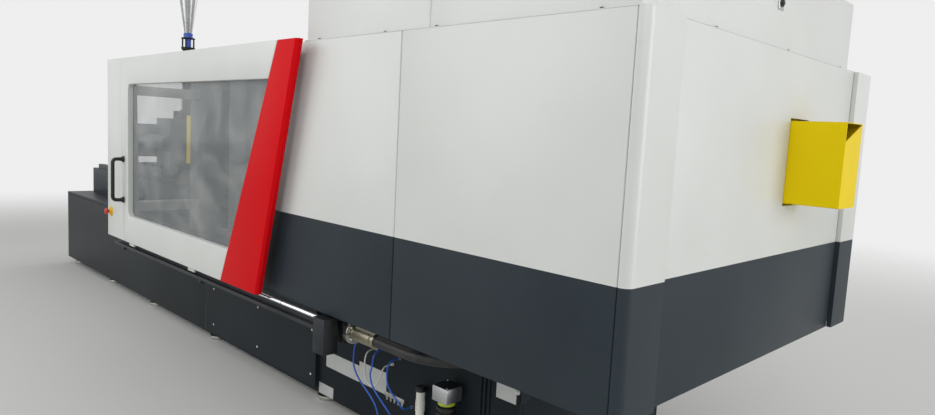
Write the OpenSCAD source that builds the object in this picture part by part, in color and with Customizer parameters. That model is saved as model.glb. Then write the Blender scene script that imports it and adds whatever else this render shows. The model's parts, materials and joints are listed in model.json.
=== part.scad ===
// Horizontal injection moulding machine with a direct hydraulic clamp.
// X runs along the machine, +X towards the clamp end. The rear side is -Y. The floor is z = 0.
// The origin is on the floor, halfway along and across the machine.

/* [Covers] */
// Width over the side covers
cover_w = 1950; // [1900:10:2050]
// Lower edge of the covers above the floor
cover_bottom = 715; // [705:1:718]
// Upper edge of the dark paint band
band_top = 1107; // [1000:1:1200]
// Upper edge of the side covers
cover_top = 1857; // [1857:1:1950]
// Thickness of the folded sheet metal
sheet_t = 3; // [2:0.5:4]
// Depth of the folded edges
fold = 25; // [20:1:30]
// Gap between neighbouring covers
cover_gap = 4; // [3:1:6]
// Width of the side cover next to the gate
cover_a_w = 652; // [600:1:700]
// Width of the side cover next to the corner
cover_b_w = 963; // [900:1:1000]
// Bend radius of the corner posts
corner_r = 30; // [20:1:40]
// Width of the rear corner post on the end face
corner_rear_w = 193; // [150:1:260]
// Width of the front corner post on the end face
corner_front_w = 205; // [150:1:260]
// How far the end panel lies behind the corner posts
end_recess = 18; // [10:1:25]

/* [Top hoods] */
// Height of the hoods above the side covers
hood_h = 283; // [200:1:350]
// Length of the hood next to the gate
hood_a_l = 786; // [700:1:900]
// Distance of the hood wall from the rear cover plane
hood_rear_in = 15; // [10:1:40]
// Distance of the hood wall from the front cover plane
hood_front_in = 250; // [200:1:300]

/* [End guard] */
// How far the end guard stands out of the corner post face
guard_out = 175; // [120:1:220]
// Width of the end guard
guard_w = 175; // [120:1:200]
// Height of the end guard
guard_h = 310; // [250:1:350]
// Distance of the guard centre from the machine axis towards the front
guard_y = 187; // [150:1:220]
// Height of the guard centre above the floor
guard_z = 1457; // [1440:1:1480]
// Height of the cut corner of the guard's end plate
guard_cut = 70; // [40:1:120]

/* [Gates] */
// How far the gates stand out of the cover plane
gate_out = 80; // [70:1:90]
// Depth of the gate shell
gate_d = 30; // [25:1:35]
// Travel of the gates
gate_travel = 1100; // [900:10:1150]
// Width of the fixed post at its upper end
post_w_top = 224; // [200:1:260]
// Width of the fixed post at its lower end
post_w_bottom = 296; // [280:1:330]
// Lower left corner of the red stripe, from the outer face of the fixed platen
stripe_left_bottom = 1655; // [1600:1:1700]
// Upper left corner of the red stripe
stripe_left_top = 2162; // [2100:1:2200]
// Lower end of the stripe's ridge
stripe_right_bottom = 2003; // [1950:1:2050]
// Upper end of the stripe's ridge
stripe_right_top = 2306; // [2250:1:2350]
// Left edge of the window
window_left = 370; // [350:1:450]
// Lower edge of the window above the floor
window_bottom = 883; // [860:1:950]
// Upper edge of the window above the floor
window_top = 1695; // [1600:1:1720]
// Corner radius of the window
window_r = 35; // [20:1:50]
// Thickness of the window pane
pane_t = 5; // [4:1:8]
// Distance between the feet of the gate handle
handle_l = 256; // [200:1:300]
// Height of the handle's centre above the floor
handle_z = 1104; // [1050:1:1150]
// Thickness of the handle's grip
grip_d = 22; // [18:1:26]
// How far the handle's grip stands out of the gate
grip_out = 65; // [55:1:70]
// Diameter of the gate's guide rod
guide_d = 22; // [18:1:24]
// Height of the guide rod above the floor
guide_z = 698; // [694:1:700]

/* [Stop buttons] */
// Diameter of the yellow disc
estop_disc_d = 64; // [55:1:75]
// Diameter of the red mushroom head
estop_head_d = 40; // [35:1:44]
// Travel of the red head
estop_travel = 6; // [4:1:8]
// Height of the button above the floor
estop_z = 877; // [860:1:900]

/* [Base] */
// Width of the base
base_w = 1100; // [1000:10:1160]
// Top of the base above the floor
base_top = 720; // [720:1:740]
// Clearance under the base
base_clear = 60; // [50:1:90]
// Thickness of the base's steel plates
base_plate = 20; // [15:1:30]
// Distance of the base's end from the clamp end face
base_end_in = 700; // [650:10:800]
// How far the side covers of the base stand out
base_cover_d = 25; // [20:1:40]
// Length of the side covers of the base
base_cover_l = 1435; // [1300:5:1500]
// Length of the part chute's opening in the base
chute_l = 1080; // [900:10:1100]
// Width of the part chute's opening
chute_w = 640; // [500:10:660]

/* [Clamp] */
// Distance of the fixed platen's outer face from the clamp end face
clamp_l = 3900; // [3900:5:3950]
// Width and height of the platens
platen_w = 1020; // [960:10:1040]
// Thickness of the fixed platen
platen_t = 250; // [220:5:280]
// Thickness of the moving platen
moving_t = 220; // [200:5:240]
// Distance between the tie bars
tie_pitch = 720; // [700:5:740]
// Diameter of the tie bars
tie_d = 115; // [100:1:125]
// Space between the platens when the clamp is closed
mould_min = 350; // [300:10:380]
// Opening stroke of the moving platen
clamp_stroke = 700; // [500:10:700]
// Length of the ejector box behind the moving platen
ejector_box = 300; // [280:5:320]
// Stroke of the ejector
ejector_stroke = 150; // [100:5:160]
// Diameter of the main ram
ram_d = 300; // [260:5:320]
// Outer diameter of the main cylinder
cylinder_d = 480; // [460:5:520]
// Diameter of the locating ring bore
locating_d = 160; // [125:5:200]
// Running clearance of shafts in their bores
fit_gap = 0.06; // [0.02:0.01:0.1]

/* [Injection unit] */
// Diameter of the barrel
barrel_d = 150; // [130:5:170]
// Diameter of the screw
screw_d = 60; // [50:1:70]
// Distance of the hopper's axis from the fixed platen's outer face
hopper_from_platen = 1270; // [1250:5:1300]
// Stroke of the injection carriage
carriage_stroke = 350; // [250:10:350]
// Stroke of the screw
screw_stroke = 260; // [200:10:260]
// Length of the feed housing
housing_l = 300; // [280:5:340]
// Width of the feed housing
housing_w = 420; // [400:5:460]
// Outer diameter of the injection cylinders
inj_cylinder_d = 130; // [120:5:140]
// Length of the screw motor
motor_l = 420; // [380:5:420]
// Diameter of the hopper's receiver
hopper_d = 240; // [200:10:300]
// Height of the hopper's receiver
hopper_h = 260; // [200:10:350]
// Diameter at the foot of the hopper's cone
cone_foot_d = 63; // [55:1:80]
// Height of the hopper's cone
cone_h = 330; // [250:10:400]
// Foot of the hopper's cone above the floor
cone_z = 2250; // [2200:10:2350]

/* [Hidden] */
$fn = 48;

white = "#DADBD6";
slate = "#39434B";
red = "#CF1420";
yellow = "#E0BE00";
black = "#202224";
steel = "#B9BCBE";
iron = "#5B6166";

// Clearance between neighbouring pieces that are not bolted together
clear = 0.5;

// Places along the machine
inj_l = 2825;
machine_l = guard_out + clamp_l + inj_l;
clamp_face = machine_l / 2 - guard_out;
platen_x = clamp_face - clamp_l;
mould_face = platen_x + platen_t;
inj_end = platen_x - inj_l;
base_x1 = clamp_face - base_end_in;
side_y = cover_w / 2;
corner_leg = corner_r + 3;
cover_b_x = clamp_face - corner_leg - cover_gap - cover_b_w;
cover_a_x = cover_b_x - cover_gap - cover_a_w;
panel_x = clamp_face - end_recess;
// The first covers' edge leans as the stripe on the closed gate does, and reaches behind it
cover_lean = stripe_right_top - stripe_right_bottom;
cover_lap = 40;

// Clamp
moving_x = mould_face + mould_min;
ejector_x = moving_x + moving_t;
ram_plate = 75;
ram_x = ejector_x + ejector_box + ram_plate;
cylinder_x = ram_x + clamp_stroke + 350;
flange_t = 250;
cylinder_l = 1050;
cylinder_end = cylinder_x + cylinder_l;
ram_end = cylinder_x + 200;
nut_d = 200;
nut_l = 120;
tie_offset = tie_pitch / 2;
traverse_off = 330;
traverse_d = 90;
traverse_rod = 50;
rail_w = 90;
rail_y = 420;
rail_top = axis_z() - platen_w / 2 - clear;

// Height of the clamp axis follows from the platen standing on its rails
function axis_z() = base_top + 60 + platen_w / 2;

// Base
base_in = base_w / 2 - base_plate;
base_top_t = 30;
pump_bay_x1 = inj_end + 1030;
tank_bay_x1 = inj_end + 2230;

// Levelling feet
foot_in = 90;
foot_in_plate = base_plate - foot_in;
foot_screw = 30;

// Gate
gate_face = side_y + gate_out;
gate_back = gate_face - gate_d;
tube = 20;
guide_y = side_y + 18;
shoe_l = 80;
shoe_h = 2 * (cover_bottom - 3 - guide_z);
guide_x0 = platen_x + 20;
shoe_x1 = platen_x + 350;
shoe_x2 = platen_x + 1240;
guide_x1 = shoe_x2 + shoe_l / 2 + gate_travel + 70;
rail_bracket_z = 610;
upper_rail_z = 1780;
upper_rail_x1 = cover_a_x - cover_lap - 5
    - cover_lean * (cover_top - upper_rail_z) / (cover_top - cover_bottom);
gate_gap = 5;
function post_edge(z) = platen_x + post_w_bottom
    + (post_w_top - post_w_bottom) * (z - cover_bottom) / (cover_top - cover_bottom);
function stripe_left(z) = platen_x + stripe_left_bottom
    + (stripe_left_top - stripe_left_bottom) * (z - cover_bottom) / (cover_top - cover_bottom);
function stripe_right(z) = platen_x + stripe_right_bottom
    + (stripe_right_top - stripe_right_bottom) * (z - cover_bottom) / (cover_top - cover_bottom);
handle_x = post_edge(handle_z) + gate_gap + 22;
estop_x = platen_x + 67;

// Operator panel
panel_z = 1230;
pivot_l = 340;
pivot_d = 14;
pivot_x = platen_x - 28;
pivot_y = gate_face - 30;

// Injection unit
axis = axis_z();
bed_h = 240;
bed_top = base_top + bed_h;
linear_h = 40;
sled_z = bed_top + linear_h;
sled_t = 80;
hopper_x = platen_x - hopper_from_platen;
housing_x0 = hopper_x - housing_l / 2;
housing_x1 = hopper_x + housing_l / 2;
housing_h = 210;
nozzle_tip = mould_face - 60;
inj_off = 260;
inj_rod_d = 70;
inj_cylinder_x1 = housing_x1 + 120;
inj_cylinder_x0 = housing_x0 - 30;
purge_lo = [platen_x - nut_l - 520, -270, sled_z + sled_t + 70];
purge_hi = [platen_x - nut_l - 60, 270, axis + 240];
purge_pin_y = purge_hi.y + 8;
carriage_rod_y = 170;
carriage_rod_z = sled_z + sled_t + 40;
carriage_rod_d = 40;
carriage_rod_l = 480;
drive_t = 80;
drive_x1 = housing_x0 - 310;
drive_x0 = drive_x1 - drive_t;
motor_x0 = drive_x0 - motor_l;
shaft_in = 60;
screw_tip = platen_x - 10;
hopper_z0 = cone_z + cone_h;
hopper_top = hopper_z0 + hopper_h;
cage_z = cone_z - 130;
hinge_drop = 40;
lid_pin_d = 8;
lid_pin_y = hopper_d / 2 + 16;
lid_pin_up = 6;

// Heights of the cabinet door's hinges
hinge_zs = [350, 1500];
switch_x = inj_end + 260;
switch_z = 1500;
switch_shaft_d = 12;

// Routes of the flexible lines
hose_d = 50;
hose_x = clamp_face - 1200;
hose_y = -875;
hose_z = 640;
hose_bend = 250;
hose_end_x = hose_x + 180 + hose_bend;
hose_end_y = -base_w / 2 - 20;
hose_route = concat(
    [[hose_x, hose_y, hose_z], [hose_x + 90, hose_y, hose_z]],
    [for (p = arc([hose_x + 180, hose_y + hose_bend], hose_bend, -90, 0, 8)) [p.x, p.y, hose_z]],
    [[hose_end_x, hose_end_y, hose_z]]
);
line_d = 8;
// Points of the lines: along X from the first line, out from the base's side, and up
lines_x = clamp_face - 1695;
function laid(route) = [for (p = route) [lines_x + p.x, -base_w / 2 - p.y, p.z]];
line_routes = [
    laid([[0, 12, 470], [0, 40, 470], [0, 58, 465], [0, 71, 452], [0, 77, 434], [0, 80, 400],
          [5, 84, 362], [25, 87, 330], [60, 89, 300], [105, 90, 274], [150, 89, 247],
          [185, 86, 215], [202, 82, 182], [206, 78, 148], [206, 71, 130], [206, 58, 117],
          [206, 40, 112], [206, 12, 112]]),
    laid([[150, 12, 455], [150, 40, 455], [150, 58, 450], [150, 71, 437], [150, 77, 419],
          [150, 82, 388], [156, 96, 352], [176, 102, 318], [208, 105, 290], [246, 106, 266],
          [282, 102, 238], [304, 92, 210], [312, 80, 182], [316, 71, 164], [316, 58, 151],
          [316, 40, 146], [316, 12, 146]]),
    laid([[260, 12, 440], [260, 40, 440], [260, 58, 435], [260, 71, 422], [260, 77, 404],
          [263, 82, 374], [276, 88, 346], [300, 92, 322], [328, 90, 300], [350, 82, 277],
          [360, 71, 254], [360, 58, 241], [360, 40, 236], [360, 12, 236]])
];
cable_d = 7;
cable_route = laid([
    [80, 12, 440], [80, 36, 440], [80, 52, 436], [80, 64, 424], [80, 70, 408], [82, 74, 370],
    [92, 78, 330], [112, 80, 302], [143, 80, 290], [174, 78, 302], [194, 74, 330], [203, 72, 350],
    [206, 68, 368], [206, 60, 384], [206, 46, 394], [206, 30, 396], [206, 12, 396]
]);

// Box between two opposite corners
module slab(lo, hi) {
    translate(lo) cube(hi - lo);
}

// Round bar along X
module bar_x(x0, x1, d, y, z) {
    translate([x0, y, z]) rotate([0, 90, 0]) cylinder(d = d, h = x1 - x0);
}

// Round bar along Y
module bar_y(y0, y1, d, x, z) {
    translate([x, y0, z]) rotate([-90, 0, 0]) cylinder(d = d, h = y1 - y0);
}

module front_side() {
    mirror([0, 1, 0]) children();
}

module both_sides() {
    children();
    front_side() children();
}

// Upright outline in the XZ plane, pushed out towards +Y from y
module wall(y, depth) {
    translate([0, y + depth, 0]) rotate([90, 0, 0]) linear_extrude(depth) children();
}

// Points of an arc
function arc(centre, r, from, to, steps) = [
    for (i = [0:steps]) centre + r * [cos(from + (to - from) * i / steps),
                                      sin(from + (to - from) * i / steps)]
];

// Tube swept along points, as one closed shell
function unit(v) = v / norm(v);
function along(p, i) = unit(p[min(i + 1, len(p) - 1)] - p[max(i - 1, 0)]);
function side_of(t) = unit(cross(t, abs(t.z) > 0.9 ? [1, 0, 0] : [0, 0, 1]));
module swept(points, d, sides) {
    last = len(points) - 1;
    rings = [
        for (i = [0:last])
            let (t = along(points, i), s = side_of(t), u = cross(s, t))
                for (k = [0:sides - 1])
                    points[i] + d / 2 * (cos(360 * k / sides) * s + sin(360 * k / sides) * u)
    ];
    skin = [
        for (i = [0:last - 1])
            for (k = [0:sides - 1])
                let (a = i * sides, b = a + sides, m = (k + 1) % sides)
                    each [[a + k, a + m, b + m], [a + k, b + m, b + k]]
    ];
    start = [[for (k = [sides - 1:-1:0]) k]];
    end = [[for (k = [0:sides - 1]) last * sides + k]];
    polyhedron(points = rings, faces = concat(start, skin, end), convexity = 6);
}

// Paints the lower part of a cover in the dark colour
module two_tone() {
    big = 2 * machine_l;
    color(white) intersection() {
        children();
        slab([-big, -big, band_top], [big, big, big]);
    }
    color(slate) intersection() {
        children();
        slab([-big, -big, -big], [big, big, band_top]);
    }
}

// Outline of a side cover, with its left edge drawn out by a lean at the foot
module cover_outline(x, w, lean, inset) {
    z0 = cover_bottom + inset;
    z1 = cover_top - inset;
    foot = x - lean + lean * inset / (cover_top - cover_bottom) + inset;
    head = x - lean * inset / (cover_top - cover_bottom) + inset;
    polygon([[foot, z0], [x + w - inset, z0], [x + w - inset, z1], [head, z1]]);
}

// Folded side cover on the rear side: outer face at y = -side_y
module side_cover(x, w, lean = 0) {
    difference() {
        wall(-side_y, fold) cover_outline(x, w, lean, 0);
        wall(-side_y + sheet_t, fold) cover_outline(x, w, lean, sheet_t);
    }
}

// Corner post on the rear side: one sheet with a round vertical bend
module corner_post(w) {
    translate([clamp_face, -side_y, cover_bottom]) linear_extrude(cover_top - cover_bottom) {
        translate([-corner_leg, 0]) square([corner_leg - corner_r, sheet_t]);
        translate([-corner_leg, 0]) square([sheet_t, fold]);
        translate([-sheet_t, corner_r]) square([sheet_t, w - corner_r]);
        translate([-end_recess - sheet_t, w - sheet_t]) square([end_recess + sheet_t, sheet_t]);
        translate([-corner_r, corner_r]) difference() {
            intersection() {
                circle(corner_r);
                translate([0, -corner_r]) square(corner_r);
            }
            circle(corner_r - sheet_t);
        }
    }
}

module base_sides() {
    color(slate) both_sides()
        slab([inj_end, -base_w / 2, base_clear], [base_x1, -base_in, base_top - base_top_t]);
}

// Cross plates, the floor under the pump and the pads on the levelling feet
module base_ribs() {
    y = base_in - clear;
    top = base_top - base_top_t - clear;
    xs = [inj_end, pump_bay_x1, tank_bay_x1, mould_face - 45, mould_face + chute_l + 25,
          base_x1 - 900, base_x1 - base_plate];
    color(slate) {
        for (x = xs) slab([x, -y, base_clear], [x + base_plate, y, top]);
        slab([inj_end, -300, base_clear], [pump_bay_x1 + 1, 300, base_clear + base_plate]);
        feet_places() difference() {
            slab([-60, foot_in_plate + clear, base_clear], [60, 60, base_clear + base_plate]);
            translate([0, 0, base_clear - 1]) cylinder(d = foot_screw + 0.4, h = base_plate + 2);
        }
    }
}

// Top plate with the part chute's opening under the mould
module base_top_plate() {
    color(slate) difference() {
        slab([inj_end, -base_w / 2, base_top - base_top_t], [base_x1, base_w / 2, base_top]);
        slab([mould_face, -chute_w / 2, base_top - base_top_t - 1],
             [mould_face + chute_l, chute_w / 2, base_top + 1]);
    }
}

// Side covers of the base, with a round bend at the end nearest the injection unit
module base_covers() {
    half = base_w / 2;
    r = 90;
    x0 = mould_face + 100;
    x1 = x0 + base_cover_l;
    color(slate) both_sides()
        translate([0, 0, base_clear + 35]) linear_extrude(rail_bracket_z - 10 - base_clear - 35) {
            translate([x0 + r, -half - base_cover_d]) square([x1 - x0 - r, sheet_t]);
            translate([x1 - sheet_t, -half - base_cover_d]) square([sheet_t, base_cover_d]);
            translate([x0 + r, -half - base_cover_d + r]) difference() {
                intersection() {
                    circle(r);
                    translate([-r, -r]) square([r, base_cover_d]);
                }
                circle(r - sheet_t);
            }
        }
}

// Places of the levelling feet, turned so that -Y points at the side plate
module feet_places() {
    xs = [inj_end + 120, inj_end + 1140, inj_end + 2120, mould_face + 140, mould_face + 1500,
          base_x1 - 120];
    both_sides() for (x = xs) translate([x, -base_w / 2 + foot_in, 0]) children();
}

module levelling_feet() {
    color(steel) feet_places() {
        cylinder(d = 120, h = 25);
        cylinder(d = foot_screw, h = base_clear + 50);
        translate([0, 0, base_clear - 22]) cylinder(d = 46, h = 22, $fn = 6);
    }
}

module platen_rails() {
    color(steel) for (y = [-rail_y, rail_y])
        slab([mould_face + 10, y - rail_w / 2, base_top],
             [cylinder_x - 10, y + rail_w / 2, rail_top]);
}

// Four corners of the tie bar pattern
module tie_corners() {
    for (y = [-tie_offset, tie_offset], z = [-tie_offset, tie_offset])
        translate([0, y, axis + z]) children();
}

module tie_bores(x0, x1) {
    tie_corners() bar_x(x0 - 1, x1 + 1, tie_d + 2 * fit_gap, 0, 0);
}

module platen_block(x0, x1) {
    slab([x0, -platen_w / 2, axis - platen_w / 2], [x1, platen_w / 2, axis + platen_w / 2]);
}

module stationary_platen() {
    color(iron) difference() {
        union() {
            platen_block(platen_x, mould_face);
            for (y = [-platen_w / 2, platen_w / 2 - 160])
                slab([platen_x, y, base_top], [mould_face, y + 160, axis - platen_w / 2 + 1]);
        }
        tie_bores(platen_x, mould_face);
        // Locating ring bore and the nozzle's way in
        bar_x(mould_face - 40, mould_face + 1, locating_d, 0, axis);
        bar_x(platen_x - 1, mould_face - 39, barrel_d + 90, 0, axis);
        // Mould bolt holes
        for (y = [-245, 245], z = [-245, 245])
            bar_x(mould_face - 45, mould_face + 1, 20, y, axis + z);
    }
}

module cylinder_platen() {
    color(iron) difference() {
        union() {
            platen_block(cylinder_x, cylinder_x + flange_t);
            bar_x(cylinder_x + flange_t - 1, cylinder_end, cylinder_d, 0, axis);
            for (y = [-platen_w / 2, platen_w / 2 - 160])
                slab([cylinder_x, y, base_top],
                     [cylinder_x + flange_t, y + 160, axis - platen_w / 2 + 1]);
        }
        tie_bores(cylinder_x, cylinder_x + flange_t);
        bar_x(cylinder_x - 1, cylinder_end - 60, ram_d + 2 * fit_gap, 0, axis);
        for (y = [-traverse_off, traverse_off])
            bar_x(cylinder_x - 1, cylinder_x + flange_t + 1, traverse_d + 2 * clear, y, axis);
    }
}

module tie_bars() {
    color(steel) tie_corners()
        bar_x(platen_x - nut_l - 20, cylinder_x + flange_t + nut_l + 20, tie_d, 0, 0);
}

module tie_bar_nuts() {
    color(steel) tie_corners() for (x = [platen_x - nut_l, cylinder_x + flange_t]) difference() {
        bar_x(x, x + nut_l, nut_d, 0, 0);
        bar_x(x - 1, x + nut_l + 1, tie_d + 2 * fit_gap, 0, 0);
    }
}

// Cylinders that open and close the clamp, seated in the cylinder platen, and those that pull the
// injection carriage against the fixed platen
module platen_cylinders() {
    x0 = housing_x1 + 50;
    color(black) {
        for (y = [-traverse_off, traverse_off]) difference() {
            union() {
                bar_x(cylinder_x - 20, cylinder_x + clamp_stroke + 60, traverse_d, y, axis);
                bar_x(cylinder_x - 20, cylinder_x, traverse_d + 40, y, axis);
            }
            bar_x(cylinder_x - 21, cylinder_x + clamp_stroke + 30, traverse_rod + 2 * fit_gap, y, axis);
        }
        for (y = [-carriage_rod_y, carriage_rod_y]) difference() {
            union() {
                bar_x(x0, platen_x, 70, y, carriage_rod_z);
                slab([platen_x - 60, y - 60, carriage_rod_z - 60], [platen_x, y + 60, carriage_rod_z + 60]);
            }
            bar_x(x0 - 1, x0 + carriage_rod_l, carriage_rod_d + 2 * fit_gap, y, carriage_rod_z);
        }
    }
}

// Valve body on the cylinder's end, with its pipe bend and outlet flange
module prefill_valve() {
    color(steel) {
        bar_x(cylinder_end, cylinder_end + 90, cylinder_d - 60, 0, axis);
        bar_x(cylinder_end + 89, cylinder_end + 210, 260, 0, axis);
        translate([cylinder_end + 150, 0, axis]) cylinder(d = 130, h = 330);
        translate([cylinder_end + 150, 0, axis + 329]) cylinder(d = 220, h = 30);
        bar_x(cylinder_end + 89, panel_x + guard_out - 60, 90, guard_y, guard_z);
        slab([cylinder_end + 60, 60, guard_z - 60], [cylinder_end + 150, guard_y + 60, guard_z + 60]);
    }
}

module oil_tank() {
    lo = [pump_bay_x1 + 40, -base_w / 2 + 60, base_clear + 80];
    hi = [tank_bay_x1 - 20, base_w / 2 - 60, base_top - 130];
    color(slate) {
        difference() {
            slab(lo, hi);
            slab(lo + [5, 5, 5], hi - [5, 5, 5]);
        }
        translate([hi.x - 140, 0, hi.z]) cylinder(d = 90, h = 70);
        for (x = [lo.x + 60, hi.x - 120], y = [lo.y, hi.y - 60])
            slab([x, y, hi.z], [x + 60, y + 60, base_top - base_top_t]);
    }
}

module pump_unit() {
    color(iron) translate([inj_end + 80, 0, 330]) {
        rotate([0, 90, 0]) cylinder(d = 330, h = 520);
        for (a = [0:15:345]) rotate([a, 0, 0]) translate([60, -4, 160]) cube([400, 8, 22]);
        translate([140, -110, 150]) cube([200, 220, 110]);
        for (x = [90, 360]) translate([x, -150, base_clear + base_plate - 330]) cube([60, 300, 130]);
    }
    color(black) translate([inj_end + 599, 0, 330]) rotate([0, 90, 0]) {
        cylinder(d = 200, h = 60);
        translate([0, 0, 59]) cylinder(d = 150, h = 200);
        translate([-60, -60, 100]) cube([120, 220, 90]);
    }
}

// Hydraulic valve on the base's rear side: a square cap over a round body
module valve_block() {
    x = clamp_face - 1040;
    y = -base_w / 2 - 70;
    color(steel) {
        translate([x - 45, y - 45, 380]) cube([90, 90, 70]);
        translate([x, y, 250]) cylinder(d = 84, h = 131);
        translate([x, y, 180]) cylinder(d = 110, h = 71);
        slab([x - 50, y, 190], [x + 50, -base_w / 2, 240]);
        for (route = line_routes) line_ports(route);
        line_ports(cable_route);
    }
}

// Elbow block, flange and ferrule at the hose's start, and the block at its end
module hose_fitting() {
    ferrule_x = hose_x - 150;
    block_x = ferrule_x - 105;
    color(steel) difference() {
        union() {
            bar_x(ferrule_x, hose_x, 66, hose_y, hose_z);
            bar_x(ferrule_x - 25, ferrule_x + 1, 100, hose_y, hose_z);
            slab([block_x, hose_y - 50, hose_z - 50], [ferrule_x - 24, hose_y + 50, hose_z + 50]);
            slab([block_x, hose_y + 49, hose_z - 30], [block_x + 60, -base_w / 2, hose_z + 20]);
            slab([hose_end_x - 50, hose_end_y, hose_z - 50], [hose_end_x + 50, -base_w / 2, hose_z + 50]);
        }
        bar_x(hose_x - 20, hose_x + 1, hose_d - 10, hose_y, hose_z);
    }
}

// Ports in the base's side for one line: one at each end of its route
module line_ports(route) {
    for (p = [route[0], route[len(route) - 1]]) bar_y(p.y, -base_w / 2, 16, p.x, p.z);
}

module clamp_hose() {
    color(black) swept(hose_route, hose_d, 12);
}

module lube_lines() {
    color("#2A55C8") for (route = line_routes) swept(route, line_d, 8);
}

module sensor_cable() {
    color("#DDDDD8") swept(cable_route, cable_d, 8);
}

// Black carriers of the guide rods, and the upper guide channels of the gates
module gate_rails() {
    color(black) both_sides() {
        difference() {
            union() {
                slab([guide_x0, -guide_y - 30, 655], [guide_x1, -guide_y + 24, 663]);
                slab([guide_x0, -guide_y - 30, 655], [guide_x1, -guide_y - 25, 672]);
                slab([guide_x0, -guide_y - 4, 662], [guide_x1, -guide_y + 4, guide_z - 6]);
                for (x = [guide_x0, (guide_x0 + guide_x1) / 2 - 20, guide_x1 - 70])
                    slab([x, -guide_y + 20, rail_bracket_z], [x + 30, -base_w / 2, 655.5]);
                slab([guide_x1, -guide_y - 30, 560], [guide_x1 + 80, -guide_y + 40, guide_z + 13]);
            }
            bar_x(guide_x0 - 1, guide_x1 + 50.5, guide_d, -guide_y, guide_z);
        }
    }
    // Upper channels, from the fixed platen's side to the first side covers
    color(black) both_sides() {
        difference() {
            slab([guide_x0 + 60, -side_y - 14, upper_rail_z],
                 [upper_rail_x1, -side_y + 16, upper_rail_z + 40]);
            slab([guide_x0 + 59, -side_y - 9, upper_rail_z - 1],
                 [upper_rail_x1 + 1, -side_y + 11, upper_rail_z + 35]);
        }
        slab([guide_x0 + 60, -side_y + 15, upper_rail_z],
             [guide_x0 + 100, -platen_w / 2, upper_rail_z + 20]);
    }
}

module guide_rods() {
    color(steel) both_sides() bar_x(guide_x0, guide_x1 + 50, guide_d, -guide_y, guide_z);
}

// Brackets, posts and ties that carry the covers
module cover_frame() {
    t = 40;
    y = -side_y + fold;
    end_x = panel_x - fold - t;
    xs = [cover_a_x, cover_b_x - cover_gap / 2 - t / 2, end_x];
    seat_y = -platen_w / 2 - 5;
    color(iron) {
        both_sides() for (x = xs) {
            slab([x, y, base_top], [x + t, seat_y, base_top + t]);
            slab([x, y, base_top + t], [x + t, y + t, cover_top - t]);
        }
        for (x = xs) slab([x, y, cover_top - t], [x + t, -y, cover_top]);
        both_sides() {
            // The last posts also carry the corner posts
            slab([end_x + t - 1, y, base_top], [clamp_face - corner_leg + sheet_t, y + t, cover_top]);
            // Bearers from the base's end to the last posts
            slab([base_x1 - 260, seat_y - t, base_top], [end_x + 1, seat_y, base_top + t]);
        }
    }
}

module cover_rear_a() {
    two_tone() side_cover(cover_a_x - cover_lap, cover_a_w + cover_lap, cover_lean);
}

module cover_rear_b() {
    two_tone() side_cover(cover_b_x, cover_b_w);
}

module corner_rear() {
    two_tone() corner_post(corner_rear_w);
}

module end_panel() {
    y0 = -side_y + corner_rear_w + cover_gap;
    y1 = side_y - corner_front_w - cover_gap;
    cut = 10;
    two_tone() difference() {
        slab([panel_x - fold, y0, cover_bottom], [panel_x, y1, cover_top]);
        slab([panel_x - fold - 1, y0 + sheet_t, cover_bottom + sheet_t],
             [panel_x - sheet_t, y1 - sheet_t, cover_top - sheet_t]);
        slab([panel_x - fold - 1, guard_y - guard_w / 2 - cut / 2, guard_z - guard_h / 2 - cut],
             [panel_x + 1, guard_y + guard_w / 2 + cut / 2, guard_z + guard_h / 2 + cut]);
    }
}

module corner_front() {
    two_tone() front_side() corner_post(corner_front_w);
}

module cover_front() {
    two_tone() front_side()
        side_cover(cover_a_x - cover_lap, cover_lap + cover_a_w + cover_gap + cover_b_w, cover_lean);
}

// Hood over the clamp with a flat flange down on the covers
module hood(x0, x1, wall0, wall1) {
    y0 = -side_y + hood_rear_in;
    y1 = side_y - hood_front_in;
    z1 = cover_top + hood_h;
    color(white) difference() {
        union() {
            slab([wall0, y0, cover_top], [wall1, y1, z1]);
            slab([x0, -side_y + 2, cover_top], [x1, side_y - 2, cover_top + sheet_t]);
        }
        slab([wall0 + sheet_t, y0 + sheet_t, cover_top - 1],
             [wall1 - sheet_t, y1 - sheet_t, z1 - sheet_t]);
    }
}

module top_hood_a() {
    hood(cover_a_x, cover_a_x + hood_a_l, cover_a_x, cover_a_x + hood_a_l);
}

module top_hood_b() {
    x0 = cover_a_x + hood_a_l + 1;
    hood(x0, clamp_face - 20, x0, clamp_face - 35);
}

// Open sheet box over the pipe end; its end plate is cut off at the upper near corner
module end_guard() {
    x1 = clamp_face + guard_out;
    y0 = guard_y - guard_w / 2;
    y1 = guard_y + guard_w / 2;
    z0 = guard_z - guard_h / 2;
    z1 = guard_z + guard_h / 2;
    color(yellow) {
        difference() {
            slab([panel_x - fold - 20, y0, z0], [x1, y1, z1]);
            slab([panel_x - fold - 21, y0 + sheet_t, z0 + sheet_t],
                 [x1 - sheet_t, y1 - sheet_t, z1 - sheet_t]);
            translate([x1 - sheet_t - 1, 0, 0]) rotate([90, 0, 90]) linear_extrude(sheet_t + 2)
                polygon([[y0 + sheet_t, z1 - guard_cut], [y1 - sheet_t, z1 - sheet_t],
                         [y0 + sheet_t, z1 - sheet_t]]);
        }
        // Flange screwed to the back of the end panel
        difference() {
            slab([panel_x - fold - 20, y0 - 40, z0 - 40], [panel_x - fold - 17, y1 + 40, z1 + 40]);
            slab([panel_x - fold - 21, y0 + 1, z0 + 1], [panel_x - fold - 16, y1 - 1, z1 - 1]);
        }
        for (y = [y0 - 38, y1 + 22], z = [z0 - 38, z1 + 22])
            slab([panel_x - fold - 18, y, z], [panel_x - sheet_t, y + 16, z + 16]);
    }
}

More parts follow.
